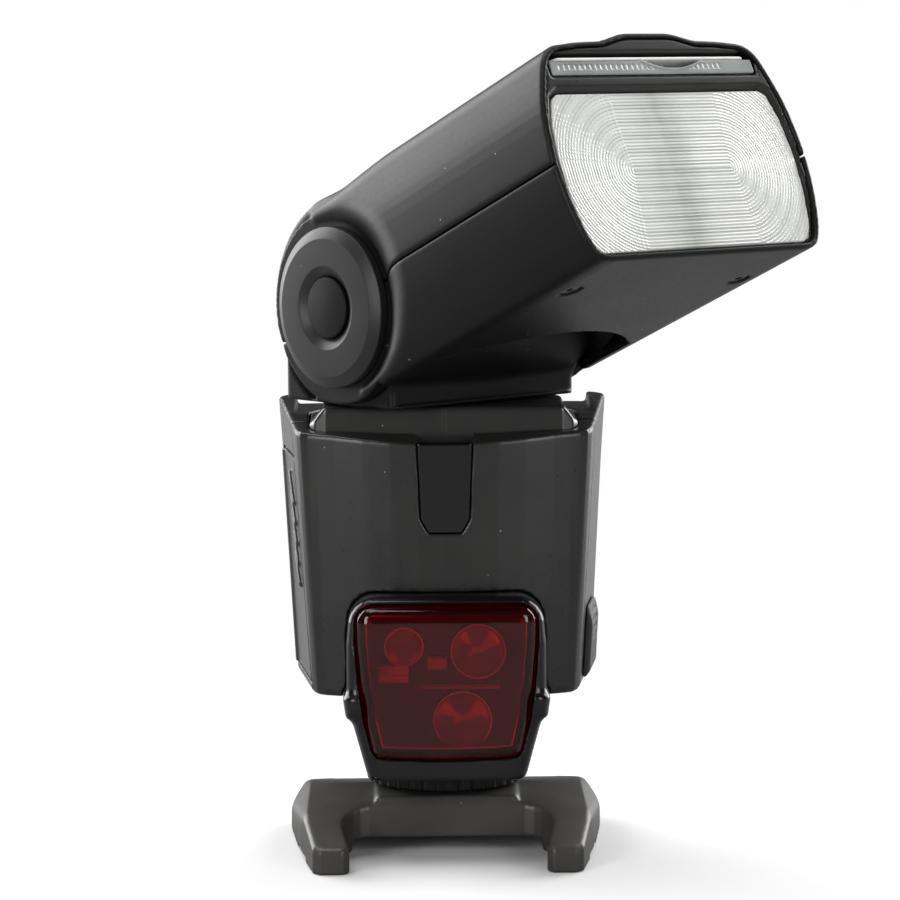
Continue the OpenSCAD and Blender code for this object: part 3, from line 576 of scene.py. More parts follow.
HEAD_LEN = 84.5
SIDE_KNOTS = [(28.3, 30), (31.0, 24), (33.9, 17), (35.8, 11), (36.8, 4), (37.1, -1), (36.5, -8.5),
              (35, -15.5), (33.6, -19), (32.4, -20.7), (30.5, -21.6), (28, -21.9)]
SIDE = both(spline(SIDE_KNOTS, 3))
LENS_EDGE = both([(29.6, 15), (31.6, 13.8), (33.5, 8), (34.4, 1), (34.2, -8), (32.8, -16),
                  (31.2, -19.2), (29.4, -20)])
WALL = 1.9
DRUM = 23.0
SEAM = -0.6
RING_U = 31.0
CAP_R = 17.84
# thumb rise on the roof near the lens
RISE = 1.9
# pocket under the head that clears the plinth: radius about the swivel axis, ceiling and rear edge
POCKET_R, POCKET_V, POCKET_Y, POCKET_WALL = 37.4, -17.4, -23.6, 1.3
# inside of the ears at the sides of the drum
EAR_U = 27.85
HEAD_SCREW = (25, -66)


def relu(t):
    return np.maximum(t, 0.0)


def prism(u, y, v):
    """Head section swept along its length: flared sides under a crowned roof with a thumb rise."""
    rise = RISE * (0.5 + 0.5 * np.cos(np.pi * clip01((np.abs(u) - 5) / 10))) * (1 - smoothstep(-82, -68, y))
    roof = 26.5 - 1.1 * (np.abs(u) / 28) ** 4 - 1.6 * smoothstep(-30, -2, y) + rise
    return smax(poly(u, v, SIDE), v - roof, 3.4)


def head_skin(u, y, v):
    """The whole head shell, before the seam splits it into an upper and a lower part."""
    au, r = np.abs(u), np.hypot(y, v)
    body = prism(u, y, v)
    # outside: the sides dive in towards the hinge caps, the back is rounded over the drum
    rim = 0.68 * relu(r - 19)
    dive = (au - RING_U - rim) * 0.83
    s = smax(smax(smax(body, -HEAD_LEN - y, 0.9), y - 1, 2.5), dive, 2.4)
    back = smax(smax(r - 24.9, au - 29, 2.0), -v - 0.4, 0.5)
    s = smin(s, back, 2.0)
    s = np.minimum(s, np.maximum(r - 21.7, au - RING_U))
    # inside: the hollow, the room for the drum, its neck and its pins
    hollow = np.maximum(np.maximum(body + WALL, y + 6), au - 29 - rim)
    s = np.maximum(s, -hollow)
    s = np.maximum(s, -np.maximum(r - DRUM, au - EAR_U))
    s = np.maximum(s, -box3(au, y, v, (-1, -26, -60), (EAR_U, 60, 13)))
    s = np.maximum(s, -np.maximum(np.maximum(26.85 - au, -8 - y), np.maximum(v - 13, 21.7 - r)))
    s = np.maximum(s, -np.maximum(r - 4.04, 20 - au))
    s = np.maximum(s, -np.maximum(body + 1.25, y + HEAD_LEN - 3.3))
    # underside: the pocket over the plinth and the two screw wells
    plan = np.hypot(u, y)
    pocket = np.maximum(np.maximum(plan - POCKET_R, v - POCKET_V), y - POCKET_Y)
    pocket = np.maximum(pocket, au - EAR_U + 0.05)
    pocket = np.maximum(pocket, -60 - y)
    walls = np.maximum(np.maximum(np.maximum(pocket - POCKET_WALL, -pocket), body + 1), y - POCKET_Y)
    s = np.maximum(np.minimum(s, walls), -pocket)
    screw = np.maximum(np.hypot(au - HEAD_SCREW[0], y - HEAD_SCREW[1]) - 2.3, v + 20.4)
    return np.maximum(s, -screw)


def upper_shell(u, y, v):
    return smax(head_skin(u, y, v), SEAM + 0.1 - v, 0.5)


def lower_shell(u, y, v):
    return smax(head_skin(u, y, v), v - SEAM + 0.12, 0.5)


def bezel(u, y, v):
    """Frame round the lens, with the slot for the two panels above it."""
    s = smax(smax(prism(u, y, v) + 1.3, -HEAD_LEN + 0.35 - y, 0.5), y + HEAD_LEN - 3.2, 0.3)
    flare = 1.1 * clip01((-HEAD_LEN + 1.9 - y) / 1.4)
    s = smax(s, -(poly(u, v, LENS_EDGE) - 0.1 - flare), 0.4)
    slot_hole = box2(u, v, -30.3, 30.3, 18.55, 23.7, 1.0) - 0.3 * clip01((-HEAD_LEN + 1.2 - y) / 0.8)
    return smax(s, -slot_hole, 0.3)


def lens(u, y, v):
    """Lens pane with its stepped ribs."""
    over = relu(np.abs(u) - RIB_STRAIGHT)
    ring = np.hypot(over, v - RIB_CENTRE_V)
    saw = (ring / RIB_PITCH) % 1.0
    front = (-HEAD_LEN + 1.15 + 0.14 * saw) - y
    return np.maximum(np.maximum(poly(u, v, LENS_EDGE) + 0.05, front * 0.9), y + HEAD_LEN - 3.05)


def wide_panel(u, y, v):
    """Clear diffuser sheet with a serrated lip and a finger scoop."""
    sheet = box3(u, y, v, (-29.6, -82.8, 18.85), (29.6, -38.5, 20.2), 0.3)
    strip = (np.abs(v - 20.6) < 0.55) * (np.abs(u + 4) < 24)
    teeth = 0.22 * (0.5 + 0.5 * np.cos(2 * np.pi * u / 1.5)) * strip
    lip = box3(u, y - teeth, v, (-29.6, -83.9, 18.85), (29.6, -82.5, 22.0), 0.3)
    bowl = 19.9 + 2.3 * ((u - 5.5) / 9.5) ** 2
    scoop = np.maximum(np.abs(u - 5.5) - 9.5, bowl - v)
    lip = smax(lip, -scoop, 0.3)
    rim = np.maximum(np.abs(v - bowl) - 0.28, np.abs(u - 5.5) - 9.3)
    rim = np.maximum(rim, np.maximum(-84.15 - y, y + 82.6))
    return np.minimum(np.minimum(sheet, lip), rim)


def catchlight(u, y, v):
    """White card above the diffuser sheet."""
    corner = box2(u, y, -28.4, 28.4, -83.85, -38.5, 2.5)
    return smax(smax(corner, 22.15 - v, 0.15), v - 22.85, 0.15)


sculpt("head_upper_shell_skin", upper_shell, (-38, -85, -1), (38, 26, 29), 0.6, "head", HEADM,
       HEAD_AXES, PIVOT, ("head_upper_shell",))
sculpt("head_lower_shell_skin", lower_shell, (-38, -85, -25), (38, 23, 0), 0.6, "head", HEADM,
       HEAD_AXES, PIVOT, ("head_lower_shell",))
sculpt("front_bezel_frame", bezel, (-37, -85, -22), (37, -81, 27), 0.4, "head", SATIN, HEAD_AXES, PIVOT,
       ("front_bezel",))
sculpt("fresnel_lens_ribbed", lens, (-35, -83.6, -20.5), (35, -81.3, 15.5), 0.25, "head", LENS,
       HEAD_AXES, PIVOT, ("fresnel_lens",))
sculpt("wide_panel_sheet", wide_panel, (-30, -84.4, 18.5), (30, -38, 22.4), 0.28, "wide_panel", CLEAR,
       HEAD_AXES, PIVOT, ("wide_panel",))
sculpt("catchlight_card", catchlight, (-29, -84, 22), (29, -38, 23), 0.3, "catchlight_panel", CARD,
       HEAD_AXES, PIVOT, ("catchlight_panel",))

# hinge caps: a flat disc with a bevelled edge, the near one with the lock button sunk in its middle
LEFT_AXES = (FORWARD, UP, -LATERAL)
RIGHT_AXES = (-FORWARD, UP, LATERAL)
RIM = [(CAP_R - 0.15, 31.05), (CAP_R, 31.3)]
RIM += arc(CAP_R - 0.35, 32.75, 0.35, 0, 60, 4) + arc(15.2, 33.84, 0.4, 62, 90, 4)
near_cap = [(6.95, 31.05)] + RIM + [(9.7, 34.24)] + arc(9.35, 33.95, 0.3, 80, 130, 3)
near_cap += [(7.25, 33.1), (6.95, 32.8)]
far_cap = [(5.0, 31.05)] + RIM + [(9.7, 34.24), (9.4, 34.05), (8.9, 34.05), (8.6, 34.24)]
far_cap += [(0.01, 34.24), (0.01, 32.1), (5.0, 32.1)]
button = [(0.01, 18.0), (3.2, 18.0), (3.2, 19.5), (1.66, 19.5), (1.66, 32.75), (6.8, 32.75)]
button += arc(6.4, 33.45, 0.4, 0, 84, 6) + [(0.01, 33.9)]
lathe("hinge_cap_left_disc", near_cap, 128, "head", CAPM, LEFT_AXES, PIVOT, ("hinge_cap_left",))
lathe("hinge_cap_right_disc", far_cap, 128, "head", CAPM, RIGHT_AXES, PIVOT, ("hinge_cap_right",))
lathe("lock_button_dome", button, 96, "lock_button", BUTTONM, LEFT_AXES, PIVOT, ("lock_button",), angle=50)


CRADLE_R, NECK_Z0 = 25.6, -22.2


def neck(u, y, z):
    """Turntable block with the tilt drum on top, in axes that turn but don't tilt."""
    au, r = np.abs(u), np.hypot(y, z)
    drum = smax(r - 22.2, au - 27.4, 0.8)
    block = smax(smax(smax(au - 27.4, -15 - y, 2.4), y - 23, 1.6), NECK_Z0 - z, 0.5)
    web = smax(np.minimum(CRADLE_R - r, smax(-14.5 - y, y - 12.3, 1.0)), z + 8, 0.4)
    floor_web = np.maximum(z - NECK_Z0 - 0.7, -14.5 - y)
    s = smin(drum, smax(block, np.minimum(web, floor_web), 0.6), 1.2)
    s = np.minimum(s, np.maximum(np.hypot(u, y) - 12, np.maximum(NECK_Z0 - 2.5 - z, z - NECK_Z0 - 0.3)))
    s = np.maximum(s, -np.maximum(r - 19.2, au - 24.4))
    s = np.maximum(s, -np.maximum(np.hypot(u, y) - 7, z + 10))
    return np.maximum(s, -(r - 4))


sculpt("neck_turntable", neck, (-28, -23, -25), (28, 24, 23), 0.5, "neck", NECKM, NECK_AXES, PIVOT,
       ("neck",))


# ------------------------------------------------------------------ body

Z0, Z1 = 36.4, 100.6
SLOPE = math.tan(math.radians(7.4))
SEAM_LEAN = math.tan(math.radians(5.4))
LCD_BOX = (-19, 66.5, 19, 91)
REAR_N = np.array([0.0, 0.99853667, -0.05407881])
REAR_T = np.array([0.0, 0.05407881, 0.99853667])


def body_outline(fx, fy, cy, sx, by):
    front = [(fx * i / 5, fy + (cy - fy) * (i / 5) ** 2) for i in range(6)]
    corner = [(fx + 1.7, cy + 1.1), (fx + 2.7, cy + 2.9), (fx + 3.1, cy + 5)]
    return both(front + corner + arc(sx - 8, by - 8.5, 8, 0, 90, 7) + [(sx * 0.4, by - 0.1), (0, by)])


TOP_PLAN = body_outline(30.6, -27.2, -20.4, 38, 26)
LOW_PLAN = body_outline(27.2, -24, -18.4, 34.2, 22.5)
PLINTH = both([(0, -18.1), (14, -17.9), (25.8, -17.2), (26.8, -16), (27.3, 0), (27.3, 5),
               (24.5, 12.6), (20, 17.4), (0, 19.2)])
BAND = both([(0, -19), (14, -18.8), (26.4, -18.3), (28.9, -17.3), (30, -15), (30.2, 5), (27, 13),
             (20, 17.4), (0, 19.2)])
PLINTH_TOP, BAND_FALL = 101.5, 3.4
TONGUE = both([(6.3, 99), (5.4, 77.2), (3.6, 74.1), (0, 74.1)])
ARCH = both([(0, 60.8), (15, 60.7)] + arc(15.2, 54.2, 6.6, 75, 10, 5) +
            [(22.2, 50), (22.2, 40), (22.0, 34)])
WINDOW = both([(0, 59)] + arc(16.1, 54.9, 4.1, 90, 0, 7) + [(20.2, 50), (19.5, 41), (18.3, 33),
              (16.6, 26), (15.6, 24.7), (10, 24.2), (0, 24)])


def rear_y(z):
    """The rear face's place at a height."""
    return 22.2 + 3.5 * (z - Z0) / (Z1 - Z0)


def body_side(x, y, z):
    """Distance to the side walls, which taper from the top plan to the low one."""
    t = (z - Z0) / (Z1 - Z0)
    return (1 - t) * poly(x, y, LOW_PLAN) + t * poly(x, y, TOP_PLAN)


def body_top(x, y):
    """Height of the body's rim, falling towards the front."""
    dip = 0.9 * (1 - clip01((np.abs(x) - 6) / 18)) * smoothstep(-14, -24, y)
    return Z1 - SLOPE * relu(15 - y) - dip


def seam_at(z):
    """The leaning seam between the front and rear covers."""
    return -9.5 + (z - 90) * SEAM_LEAN


def chin(x, y, z):
    """The window housing: a tapered chin below the body and an arched hood on its front."""
    t = (z - 19.1) / (Z0 - 19.1)
    half_w = 17.5 + 4.6 * np.minimum(t, 1.05)
    low = smax(smax(np.abs(x) - half_w, (-30.4 - 1.2 * t) - y, 4.0), y - 15.5, 2.5)
    low = smax(smax(low, 19.1 - z, 1.4), z - 37.5, 0.5)
    hood = smax(smax(poly(x, z, ARCH), -31.6 - y, 3.6), y + 15.6, 0.5)
    return smin(low, hood, 3.0)


def body_shell(x, y, z, d):
    """The closed body less its hollow, the plinth's hole and the window housing; d is body_side."""
    au, top = np.abs(x), body_top(x, y)
    s = smax(smax(d, Z0 - z, 1.6), z - top, 1.0)
    s = smax(s, -box3(au, y, z, (-1, -2, 98.2), (33.8, 60, 120), 1.0), 0.8)
    s = np.maximum(s, -np.maximum(np.maximum(d + WALL, Z0 + WALL - z), np.maximum(z - top + 3, z - 96.2)))
    s = smax(s, -np.maximum(poly(x, y, BAND) - 0.25, 90 - z), 0.3)
    s = np.maximum(s, -(chin(x, y, z) - 0.15))
    return np.maximum(s, -box3(x, y, z, (-15.3, -16.4, 30), (15.3, -14.2, 45)))


def front_cover(x, y, z):
    """Front half of the body, open for the sensor pane."""
    s = body_shell(x, y, z, body_side(x, y, z))
    s = smax(s, (y - seam_at(z)) + 0.12, 0.4)
    return smax(s, -np.maximum(poly(x, z, TONGUE) - 0.16, y + 17), 0.3)


def capsule(py, pz, a, b, r):
    a, b = np.array(a, float), np.array(b, float)
    e = b - a
    t = clip01(((py - a[0]) * e[0] + (pz - a[1]) * e[1]) / (e @ e))
    return np.hypot(py - a[0] - t * e[0], pz - a[1] - t * e[1]) - r


def on_rear(x, y, z, x0, z0):
    """Coordinates across, up and out of the rear face at a spot on it."""
    dy, dz = y - rear_y(z0), z - z0
    return x - x0, dy * REAR_T[1] + dz * REAR_T[2], dy * REAR_N[1] + dz * REAR_N[2]


BUTTON_XS = (-18.5, -6.5, 5.5, 17.5)
BUTTON_Z, DIAL, TEST, POWER, SLAVE = 61, (12.5, 47.5), (-17.5, 49), (-17.5, 41.7), (-4.2, 41.7)
HINGE_LEAN = math.tan(math.radians(2.98))


def hinge_line(x, y, z):
    return np.hypot((x + 32.8 + (z - Z0) * HINGE_LEAN) * 0.9986, y - 12)


def rear_cover(x, y, z):
    """Rear half of the body with its openings, dial well and screw wells."""
    d = body_side(x, y, z)
    s = body_shell(x, y, z, d)
    s = smax(s, seam_at(z) - y + 0.06, 0.4)
    x0, z0, x1, z1 = LCD_BOX
    s = smax(s, -np.maximum(box2(x, z, x0 - 0.15, x1 + 0.15, z0 - 0.15, z1 + 0.15, 1.0), 18 - y), 0.5)
    s = np.maximum(s, -np.maximum(box2(y, z, -17, 12.0, 38.8, 89.6, 0.4), x + 28))
    s = np.maximum(s, -np.maximum(hinge_line(x, y, z) - 1.95, np.maximum(38.8 - z, z - 89.6)))
    s = np.maximum(s, -np.maximum(box2(y, z, -6.2, 6.2, 40.8, 52.2, 0.4), 28 - x))
    a, b, c = on_rear(x, y, z, *DIAL)
    well = smax(np.hypot(a, b) - 10.4, -5.2 - c, 0.4)
    s = np.minimum(s, np.maximum(np.maximum(well, c + 0.8), d + 0.9))
    s = smax(s, -np.maximum(np.hypot(a, b) - 9.05, -3.8 - c), 0.5)
    s = np.maximum(s, -np.maximum(np.hypot(a, b) - 3.2, -9 - c))
    holes = []
    for bx in BUTTON_XS:
        a, b, c = on_rear(x, y, z, bx, BUTTON_Z)
        holes.append(np.maximum(box2(a, b, -4.5, 4.5, -2.6, 2.6, 2.2), -7 - c))
    a, b, c = on_rear(x, y, z, *TEST)
    holes.append(np.maximum(np.hypot(a, b) - 3.5, -7 - c))
    for spot in (POWER, SLAVE):
        a, b, c = on_rear(x, y, z, *spot)
        holes.append(np.maximum(box2(a, b, -4, 4, -1.7, 1.7, 1.2), -7 - c))
    for hole in holes:
        s = smax(s, -hole, 0.5)
    screw = np.hypot(np.abs(x) - 25.5, np.abs(y - 3) - 14)
    return np.maximum(s, -np.maximum(screw - 2.1, z - Z0 - 1.3))


def battery_door(x, y, z):
    """Door in the side wall, with its hinge barrel and five grip ribs."""
    d = body_side(x, y, z)
    s = smax(smax(d, -(d + 1.6), 0.3), box2(y, z, -17, 11.75, 39.15, 89.25, 0.6), 0.4)
    s = np.maximum(smax(s, seam_at(z) - y + 0.3, 0.4), x + 28)
    s = np.minimum(s, np.maximum(hinge_line(x, y, z) - 1.7, np.maximum(39.2 - z, z - 89.2)))
    for i in range(5):
        cy, cz = -4.6 - 0.4 * i, 82 - 4.6 * i
        rib = smax(capsule(y, z, (cy - 2.4, cz - 3.1), (cy + 2.4, cz + 3.1), 0.8), d - 0.75, 0.6)
        s = smin(s, np.maximum(np.maximum(rib, -(d + 1)), x + 28), 0.3)
    return np.maximum(s, -np.maximum(hinge_line(x, y, z) - 0.86, x + 28))


def sensor_window(x, y, z):
    """Tongue-shaped pane in the body front."""
    d = body_side(x, y, z)
    s = smax(smax(d, poly(x, z, TONGUE), 0.5), z - body_top(x, y), 0.5)
    return np.maximum(s, y + 24.6)


def top_deck(x, y, z):
    """Plinth the neck turns on, with its wider band at the front."""
    fall = np.maximum(smoothstep(26.2, 30, np.abs(x)), smoothstep(-12, -9, y))
    band = smax(poly(x, y, BAND), z - PLINTH_TOP + BAND_FALL * fall, 1.0)
    s = np.minimum(smax(poly(x, y, PLINTH), z - PLINTH_TOP, 1.0), band)
    s = smax(s, 93 - z, 0.3)
    seam = np.maximum(np.abs(x) - 0.1, y + 17.6)
    s = smax(s, -seam, 0.2)
    s = smax(s, body_side(x, y, z) + 1.7, 0.4)
    s = np.maximum(s, -np.maximum(poly(x, y, PLINTH) + 2, z - 99.5))
    return np.maximum(s, -(np.hypot(x, y) - 12.1))


def housing_chin(x, y, z):
    """Window housing, hollow behind the red window."""
    s = np.maximum(chin(x, y, z), -np.maximum(poly(x, z, WINDOW) - 0.15, y + 14))
    s = np.maximum(s, -box3(x, y, z, (-17, -12.2, 20.8), (17, 13.2, 70)))
    s = np.maximum(s, -box3(x, y, z, (-13.6, -12.1, 10), (13.6, 12.6, 30)))
    return np.maximum(s, -(np.hypot(x, y) - 4))


def window_skin(x, y, z):
    """Red window: a thin cover with a rounded edge."""
    out = smax(poly(x, z, WINDOW), -33.1 - y, 4.2)
    return np.maximum(np.maximum(out, -(smax(poly(x, z, WINDOW), -33.1 - y, 3.6) + 1.5)), y + 28.2)


# ring lenses of the assist lamps: across, up and radius
LAMPS = ((7.2, 47.0, 5.4), (-9.4, 48.2, 3.6), (3.6, 31.4, 5.8))


def assist_baffle(x, y, z):
    """Dark holder round the assist lamps."""
    s = np.maximum(poly(x, z, WINDOW) + 0.4, np.maximum(-20.5 - y, y + 16.6))
    for cx, cz, r in LAMPS:
        s = np.maximum(s, -np.maximum(np.hypot(x - cx, z - cz) - r - 0.9, -30 - y))
    return s


def light_guides(x, y, z):
    """Clear ribbed blocks that spread the lamps' light."""
    s = np.full(np.broadcast_shapes(np.shape(x), np.shape(y), np.shape(z)), 9.0)
    for gx, gz, w, hgt in ((-11.8, 42.0, 3.4, 1.9), (-2.0, 44.4, 2.2, 1.2), (3, 38.9, 9, 0.35)):
        step = 0.7 * (((z - gz) / 1.25) % 1.0)
        block = box2(x, z, gx - w, gx + w, gz - hgt, gz + hgt, 0.4)
        block = np.maximum(block, np.maximum(-23.6 + step - y, y + 20.3))
        s = np.minimum(s, block)
    return s


sculpt("front_cover_shell", front_cover, (-36, -28, 36), (36, -8.5, 98), 0.5, "housing", SATIN,
       replaces=("front_cover",))
sculpt("rear_cover_shell", rear_cover, (-39, -15, 36), (39, 27, 101), 0.55, "housing", SATIN,
       replaces=("rear_cover",))
sculpt("battery_door_panel", battery_door, (-40.5, -18, 38.8), (-28, 14, 90), 0.4, "battery_door",
       SATIN, replaces=("battery_door",))
sculpt("sensor_window_pane", sensor_window, (-7, -28, 73.5), (7, -24, 98), 0.3, "housing", GLOSS,
       replaces=("sensor_window",))
sculpt("top_deck_plate", top_deck, (-31, -20, 92.6), (31, 20, 102), 0.4, "housing", DECKM,
       replaces=("top_deck",))
sculpt("assist_housing_shell", housing_chin, (-23, -32.5, 18.6), (23, 17, 61.5), 0.45, "housing", SEMI,
       replaces=("assist_housing",))
sculpt("assist_window_cover", window_skin, (-21, -33.6, 21.4), (21, -27.8, 59.6), 0.4, "housing", RED,
       replaces=("assist_window",))
sculpt("assist_baffle", assist_baffle, (-20.5, -24, 21), (20.5, -16, 59.5), 0.35, "housing", INNER)
sculpt("assist_light_guides", light_guides, (-16, -24, 38), (12.5, -20, 46), 0.25, "housing", GUIDE_PAINTED_GLINT)


# ------------------------------------------------------------------ stand and lock ring

def stand_plan():
    notch = arc(15.5, -27, 8, 75, 0, 6)
    flank = [(24 + 12 * c, 8 + 17 * s) for c, s in arc(0, 0, 1, -10, 60, 8)]
    toe = [(21.8, -36.6), (23.2, -38), (28.4, -38), (30, -36.4), (33, -20)]
    return both([(0, -19)] + notch + toe + flank + [(26.2, 25.4), (25.2, 23), (0, 22)])


STAND_PLAN = stand_plan()


def stand(x, y, z):
    """The stand: sloped flanks and toes, a raised shoe in the middle, hollow below."""
    au = np.abs(x)
    plan = poly(x, y, STAND_PLAN)
    flank = np.maximum(((au - 31) * 6 + (z - 11.4) * 5.5) / 8.14, ((au - 20) * 2 + (z - 12.9) * 11) / 11.18)
    toes = ((-20 - y) * 6 + (z - 11.4) * 19) / 19.92
    back = (z - 12.9 + 0.182 * relu(y)) / 1.02
    side = smax(smax(smax(plan, flank, 1.2), toes, 1.2), back, 1.2)
    shoe = smax(smax(plan, au - 16, 1.0), z - 13.4, 1.0)
    shoe = smax(smax(shoe, y - 17.4, 1.0), -18.6 - y, 1.0)
    s = smax(smin(side, shoe, 1.0), -z, 0.6)
    # channel below the bar and shallow recess, then the slot for the foot and its pin
    s = smax(s, -box3(x, y, z, (-21.5, -60, -5), (21.5, 20.5, 4)), 0.4)
    s = smax(s, -box3(x, y, z, (-33.5, -26, -5), (33.5, 13, 1.2)), 0.4)
    s = np.maximum(s, -box3(x, y, z, (-9.45, -11, 9.3), (9.45, 60, 11.9)))
    s = smax(s, -box3(x, y, z, (-6.3, -10.6, 9.3), (6.3, 60, 30)), 0.4)
    s = np.maximum(s, -np.maximum(np.hypot(x, y) - 4.5, z - 8.4))
    s = np.maximum(s, -np.maximum(np.hypot(x, y + 7.2) - 1.6, 7.1 - z))
    return np.maximum(s, -box3(x, y, z, (-1.6, -7.2, 7.1), (1.6, 60, 10.3)))


def lock_ring(x, y, z):
    """Knurled ring over the foot."""
    r, a = np.hypot(x, y), np.arctan2(y, x)
    a = (a + math.pi / 36) % (math.pi / 18) - math.pi / 36
    groove = np.hypot(r * np.cos(a) - 18.7, r * np.sin(a)) - 0.95
    s = smax(smax(r - 18.2, 14 - z, 0.7), z - 18.4, 0.7)
    return np.maximum(smax(s, -groove, 0.3), 11.0 - r)


sculpt("stand_base_shell", stand, (-37, -39, -0.5), (37, 26, 14), 0.5, "stand", STANDM,
       replaces=("stand_base",))
sculpt("lock_ring_knurled", lock_ring, (-19, -19, 13.6), (19, 19, 18.8), 0.35, "lock_ring", NECKM,
       replaces=("lock_ring",))


# ------------------------------------------------------------------ controls

def rear_axes():
    return (np.array([1.0, 0, 0]), REAR_T, REAR_N)


def rear_spot(x0, z0):
    return np.array([x0, rear_y(z0), z0])


def key(a, b, c):
    """A dished push key on its flange."""
    dish = 0.25 * clip01(1 - (a / 5) ** 2 - (b / 3) ** 2)
    cap = smax(smax(box2(a, b, -4.2, 4.2, -2.3, 2.3, 2.6), c - 0.9 + dish, 0.6), -3.6 - c, 0.3)
    foot = np.maximum(box2(a, b, -5, 5, -3.1, 3.1, 1.5), np.maximum(-3.6 - c, c + 2.2))
    return np.minimum(cap, foot)


def thumb_slide(a, b, c):
    """A ribbed slide knob on its shoe."""
    ribs = 0.25 * (0.5 + 0.5 * np.cos(2 * np.pi * a / 0.9))
    cap = smax(smax(box2(a, b, -1.8, 1.8, -1.45, 1.45, 0.6), c - 0.9 + ribs, 0.3), -3.6 - c, 0.2)
    shoe = np.maximum(box2(a, b, -4.3, 4.3, -2.4, 2.4, 0.8), np.maximum(-3.6 - c, c + 2.4))
    return np.minimum(cap, shoe)


def dial(a, b, c):
    """Notched dial with a recess for the set button."""
    r, t = np.hypot(a, b), np.arctan2(b, a)
    t = (t + math.pi / 24) % (math.pi / 12) - math.pi / 24
    groove = np.hypot(r * np.cos(t) - 8.95, r * np.sin(t)) - 0.7
    s = smax(smax(r - 8.6, c - 1.3 + 0.04 * relu(6.5 - r), 0.8), -3.5 - c, 0.3)
    s = smax(s, -np.maximum(groove, -2.7 - c), 0.3)
    s = smax(s, -np.maximum(r - 4.4, -2.1 - c), 0.3)
    boss = np.maximum(r - 3.1, np.maximum(-5.1 - c, c + 3))
    return np.maximum(np.minimum(s, boss), 1.6 - r)


def dome(r0, top):
    """The field of a domed button on a stem."""
    def field(a, b, c):
        r = np.hypot(a, b)
        s = smax(smax(r - r0, c - top + 0.012 * r * r, 0.7), -1.3 - c, 0.3)
        return np.minimum(s, np.maximum(r - 1.5, np.maximum(-4.9 - c, c + 1)))
    return field


def test_dome(a, b, c):
    """Domed test button on its flange."""
    r = np.hypot(a, b)
    s = smax(smax(r - 3.2, c - 1.0 + 0.03 * r * r, 0.7), -3.6 - c, 0.3)
    return np.minimum(s, np.maximum(r - 4, np.maximum(-3.6 - c, c + 2.2)))


for label, bx in zip(("light", "mode", "sync", "zoom"), BUTTON_XS):
    node = label + "_button"
    sculpt(node + "_key", key, (-5.2, -3.3, -3.8), (5.2, 3.3, 1.1), 0.2, node, KEYM, rear_axes(),
           rear_spot(bx, BUTTON_Z), (node,))
for node, spot in (("power_switch", POWER), ("slave_switch", SLAVE)):
    sculpt(node + "_thumb", thumb_slide, (-4.5, -2.6, -3.8), (4.5, 2.6, 1.1), 0.16, node, KEYM,
           rear_axes(), rear_spot(spot[0] - 1.8, spot[1]), (node,))
sculpt("select_dial_wheel", dial, (-9, -9, -5.3), (9, 9, 1.5), 0.25, "select_dial", KEYM, rear_axes(),
       rear_spot(*DIAL), ("select_dial",))
sculpt("set_button_dome", dome(4.3, 1.6), (-4.6, -4.6, -5.1), (4.6, 4.6, 1.9), 0.2, "set_button", KEYM,
       rear_axes(), rear_spot(*DIAL), ("set_button",))
sculpt("test_button_dome", test_dome, (-4.2, -4.2, -3.8), (4.2, 4.2, 1.3), 0.2, "test_button", ORANGE,
       rear_axes(), rear_spot(*TEST), ("test_button",))


def display_window(x, y, z):
    """Flush window over the display."""
    x0, z0, x1, z1 = LCD_BOX
    s = smax(body_side(x, y, z) - 0.1, box2(x, z, x0, x1, z0, z1, 1.6), 0.5)
    return np.maximum(s, 22.8 - y)


def socket_flap(x, y, z):
    """Soft cover over the power socket, with grip lines."""
    d = body_side(x, y, z)
    bulge = 0.9 + 0.8 * smoothstep(54.6, 50, z) * smoothstep(37.9, 40, z)
    lines = 0.25 * (0.5 + 0.5 * np.cos(2 * np.pi * z / 2.2)) * (np.abs(z - 49.5) < 3.3) * (np.abs(y) < 5)
    s = smax(d - bulge + lines, box2(y, z, -8.2, 8.6, 37.9, 54.6, 2.2), 0.9)
    return np.maximum(np.maximum(s, 0.12 - d), 29 - x)


sculpt("lcd_window_pane", display_window, (-19.4, 22.4, 66), (19.4, 27, 91.4), 0.4, "housing", SMOKE,
       replaces=("lcd_window",))
sculpt("socket_cover_flap", socket_flap, (29, -9, 37.4), (38, 9.2, 55), 0.3, "socket_cover", RUBBER,
       replaces=("socket_cover",))

# each assist lamp: a stepped lens in a bright bowl
LAMP_AXES = (np.array([1.0, 0, 0]), np.array([0, 0, 1.0]), np.array([0, -1.0, 0]))
for i, (lx, lz, lr) in enumerate(LAMPS):
    steps = []
    for k in range(4):
        r1, r0 = lr * (1 - k / 4), lr * (0.75 - k / 4)
        steps += [(r1, 6.3 + 0.3 * k), (max(r0, 0.01), 6.9 + 0.3 * k)]
    lathe("assist_lamp_%d" % (i + 1), [(0.01, 5.9), (lr, 5.9)] + steps, 64, "housing", GLASS, LAMP_AXES,
          np.array([lx, -15.85, lz]), ("assist_lamps",) if i == 0 else ())
    bowl = [(0.1 + (lr + 0.2) * math.sqrt(k / 5), 0.9 + k) for k in range(4, -1, -1)]
    bowl = [(lr + 0.8, 6.6), (lr + 0.45, 6.6)] + bowl + [(0.1, 0.7), (lr + 0.8, 0.7)]
    lathe("assist_bowl_%d" % (i + 1), bowl, 64, "housing", CHROME, LAMP_AXES, np.array([lx, -15.95, lz]))


# ------------------------------------------------------------------ floor, light and camera

def add_mesh(name, verts, faces, mat):
    mesh = bpy.data.meshes.new(name)
    mesh.from_pydata(verts, [], faces)
    mesh.materials.append(mat)
    obj = bpy.data.objects.new(name, mesh)
    bpy.context.scene.collection.objects.link(obj)
    return obj


FLOOR_BOUNCE = 0.30
# painted shadow round the object: where it starts to fade and over what width
SHADOW_FADE_START, SHADOW_FADE_WIDTH = 0.03, 0.14


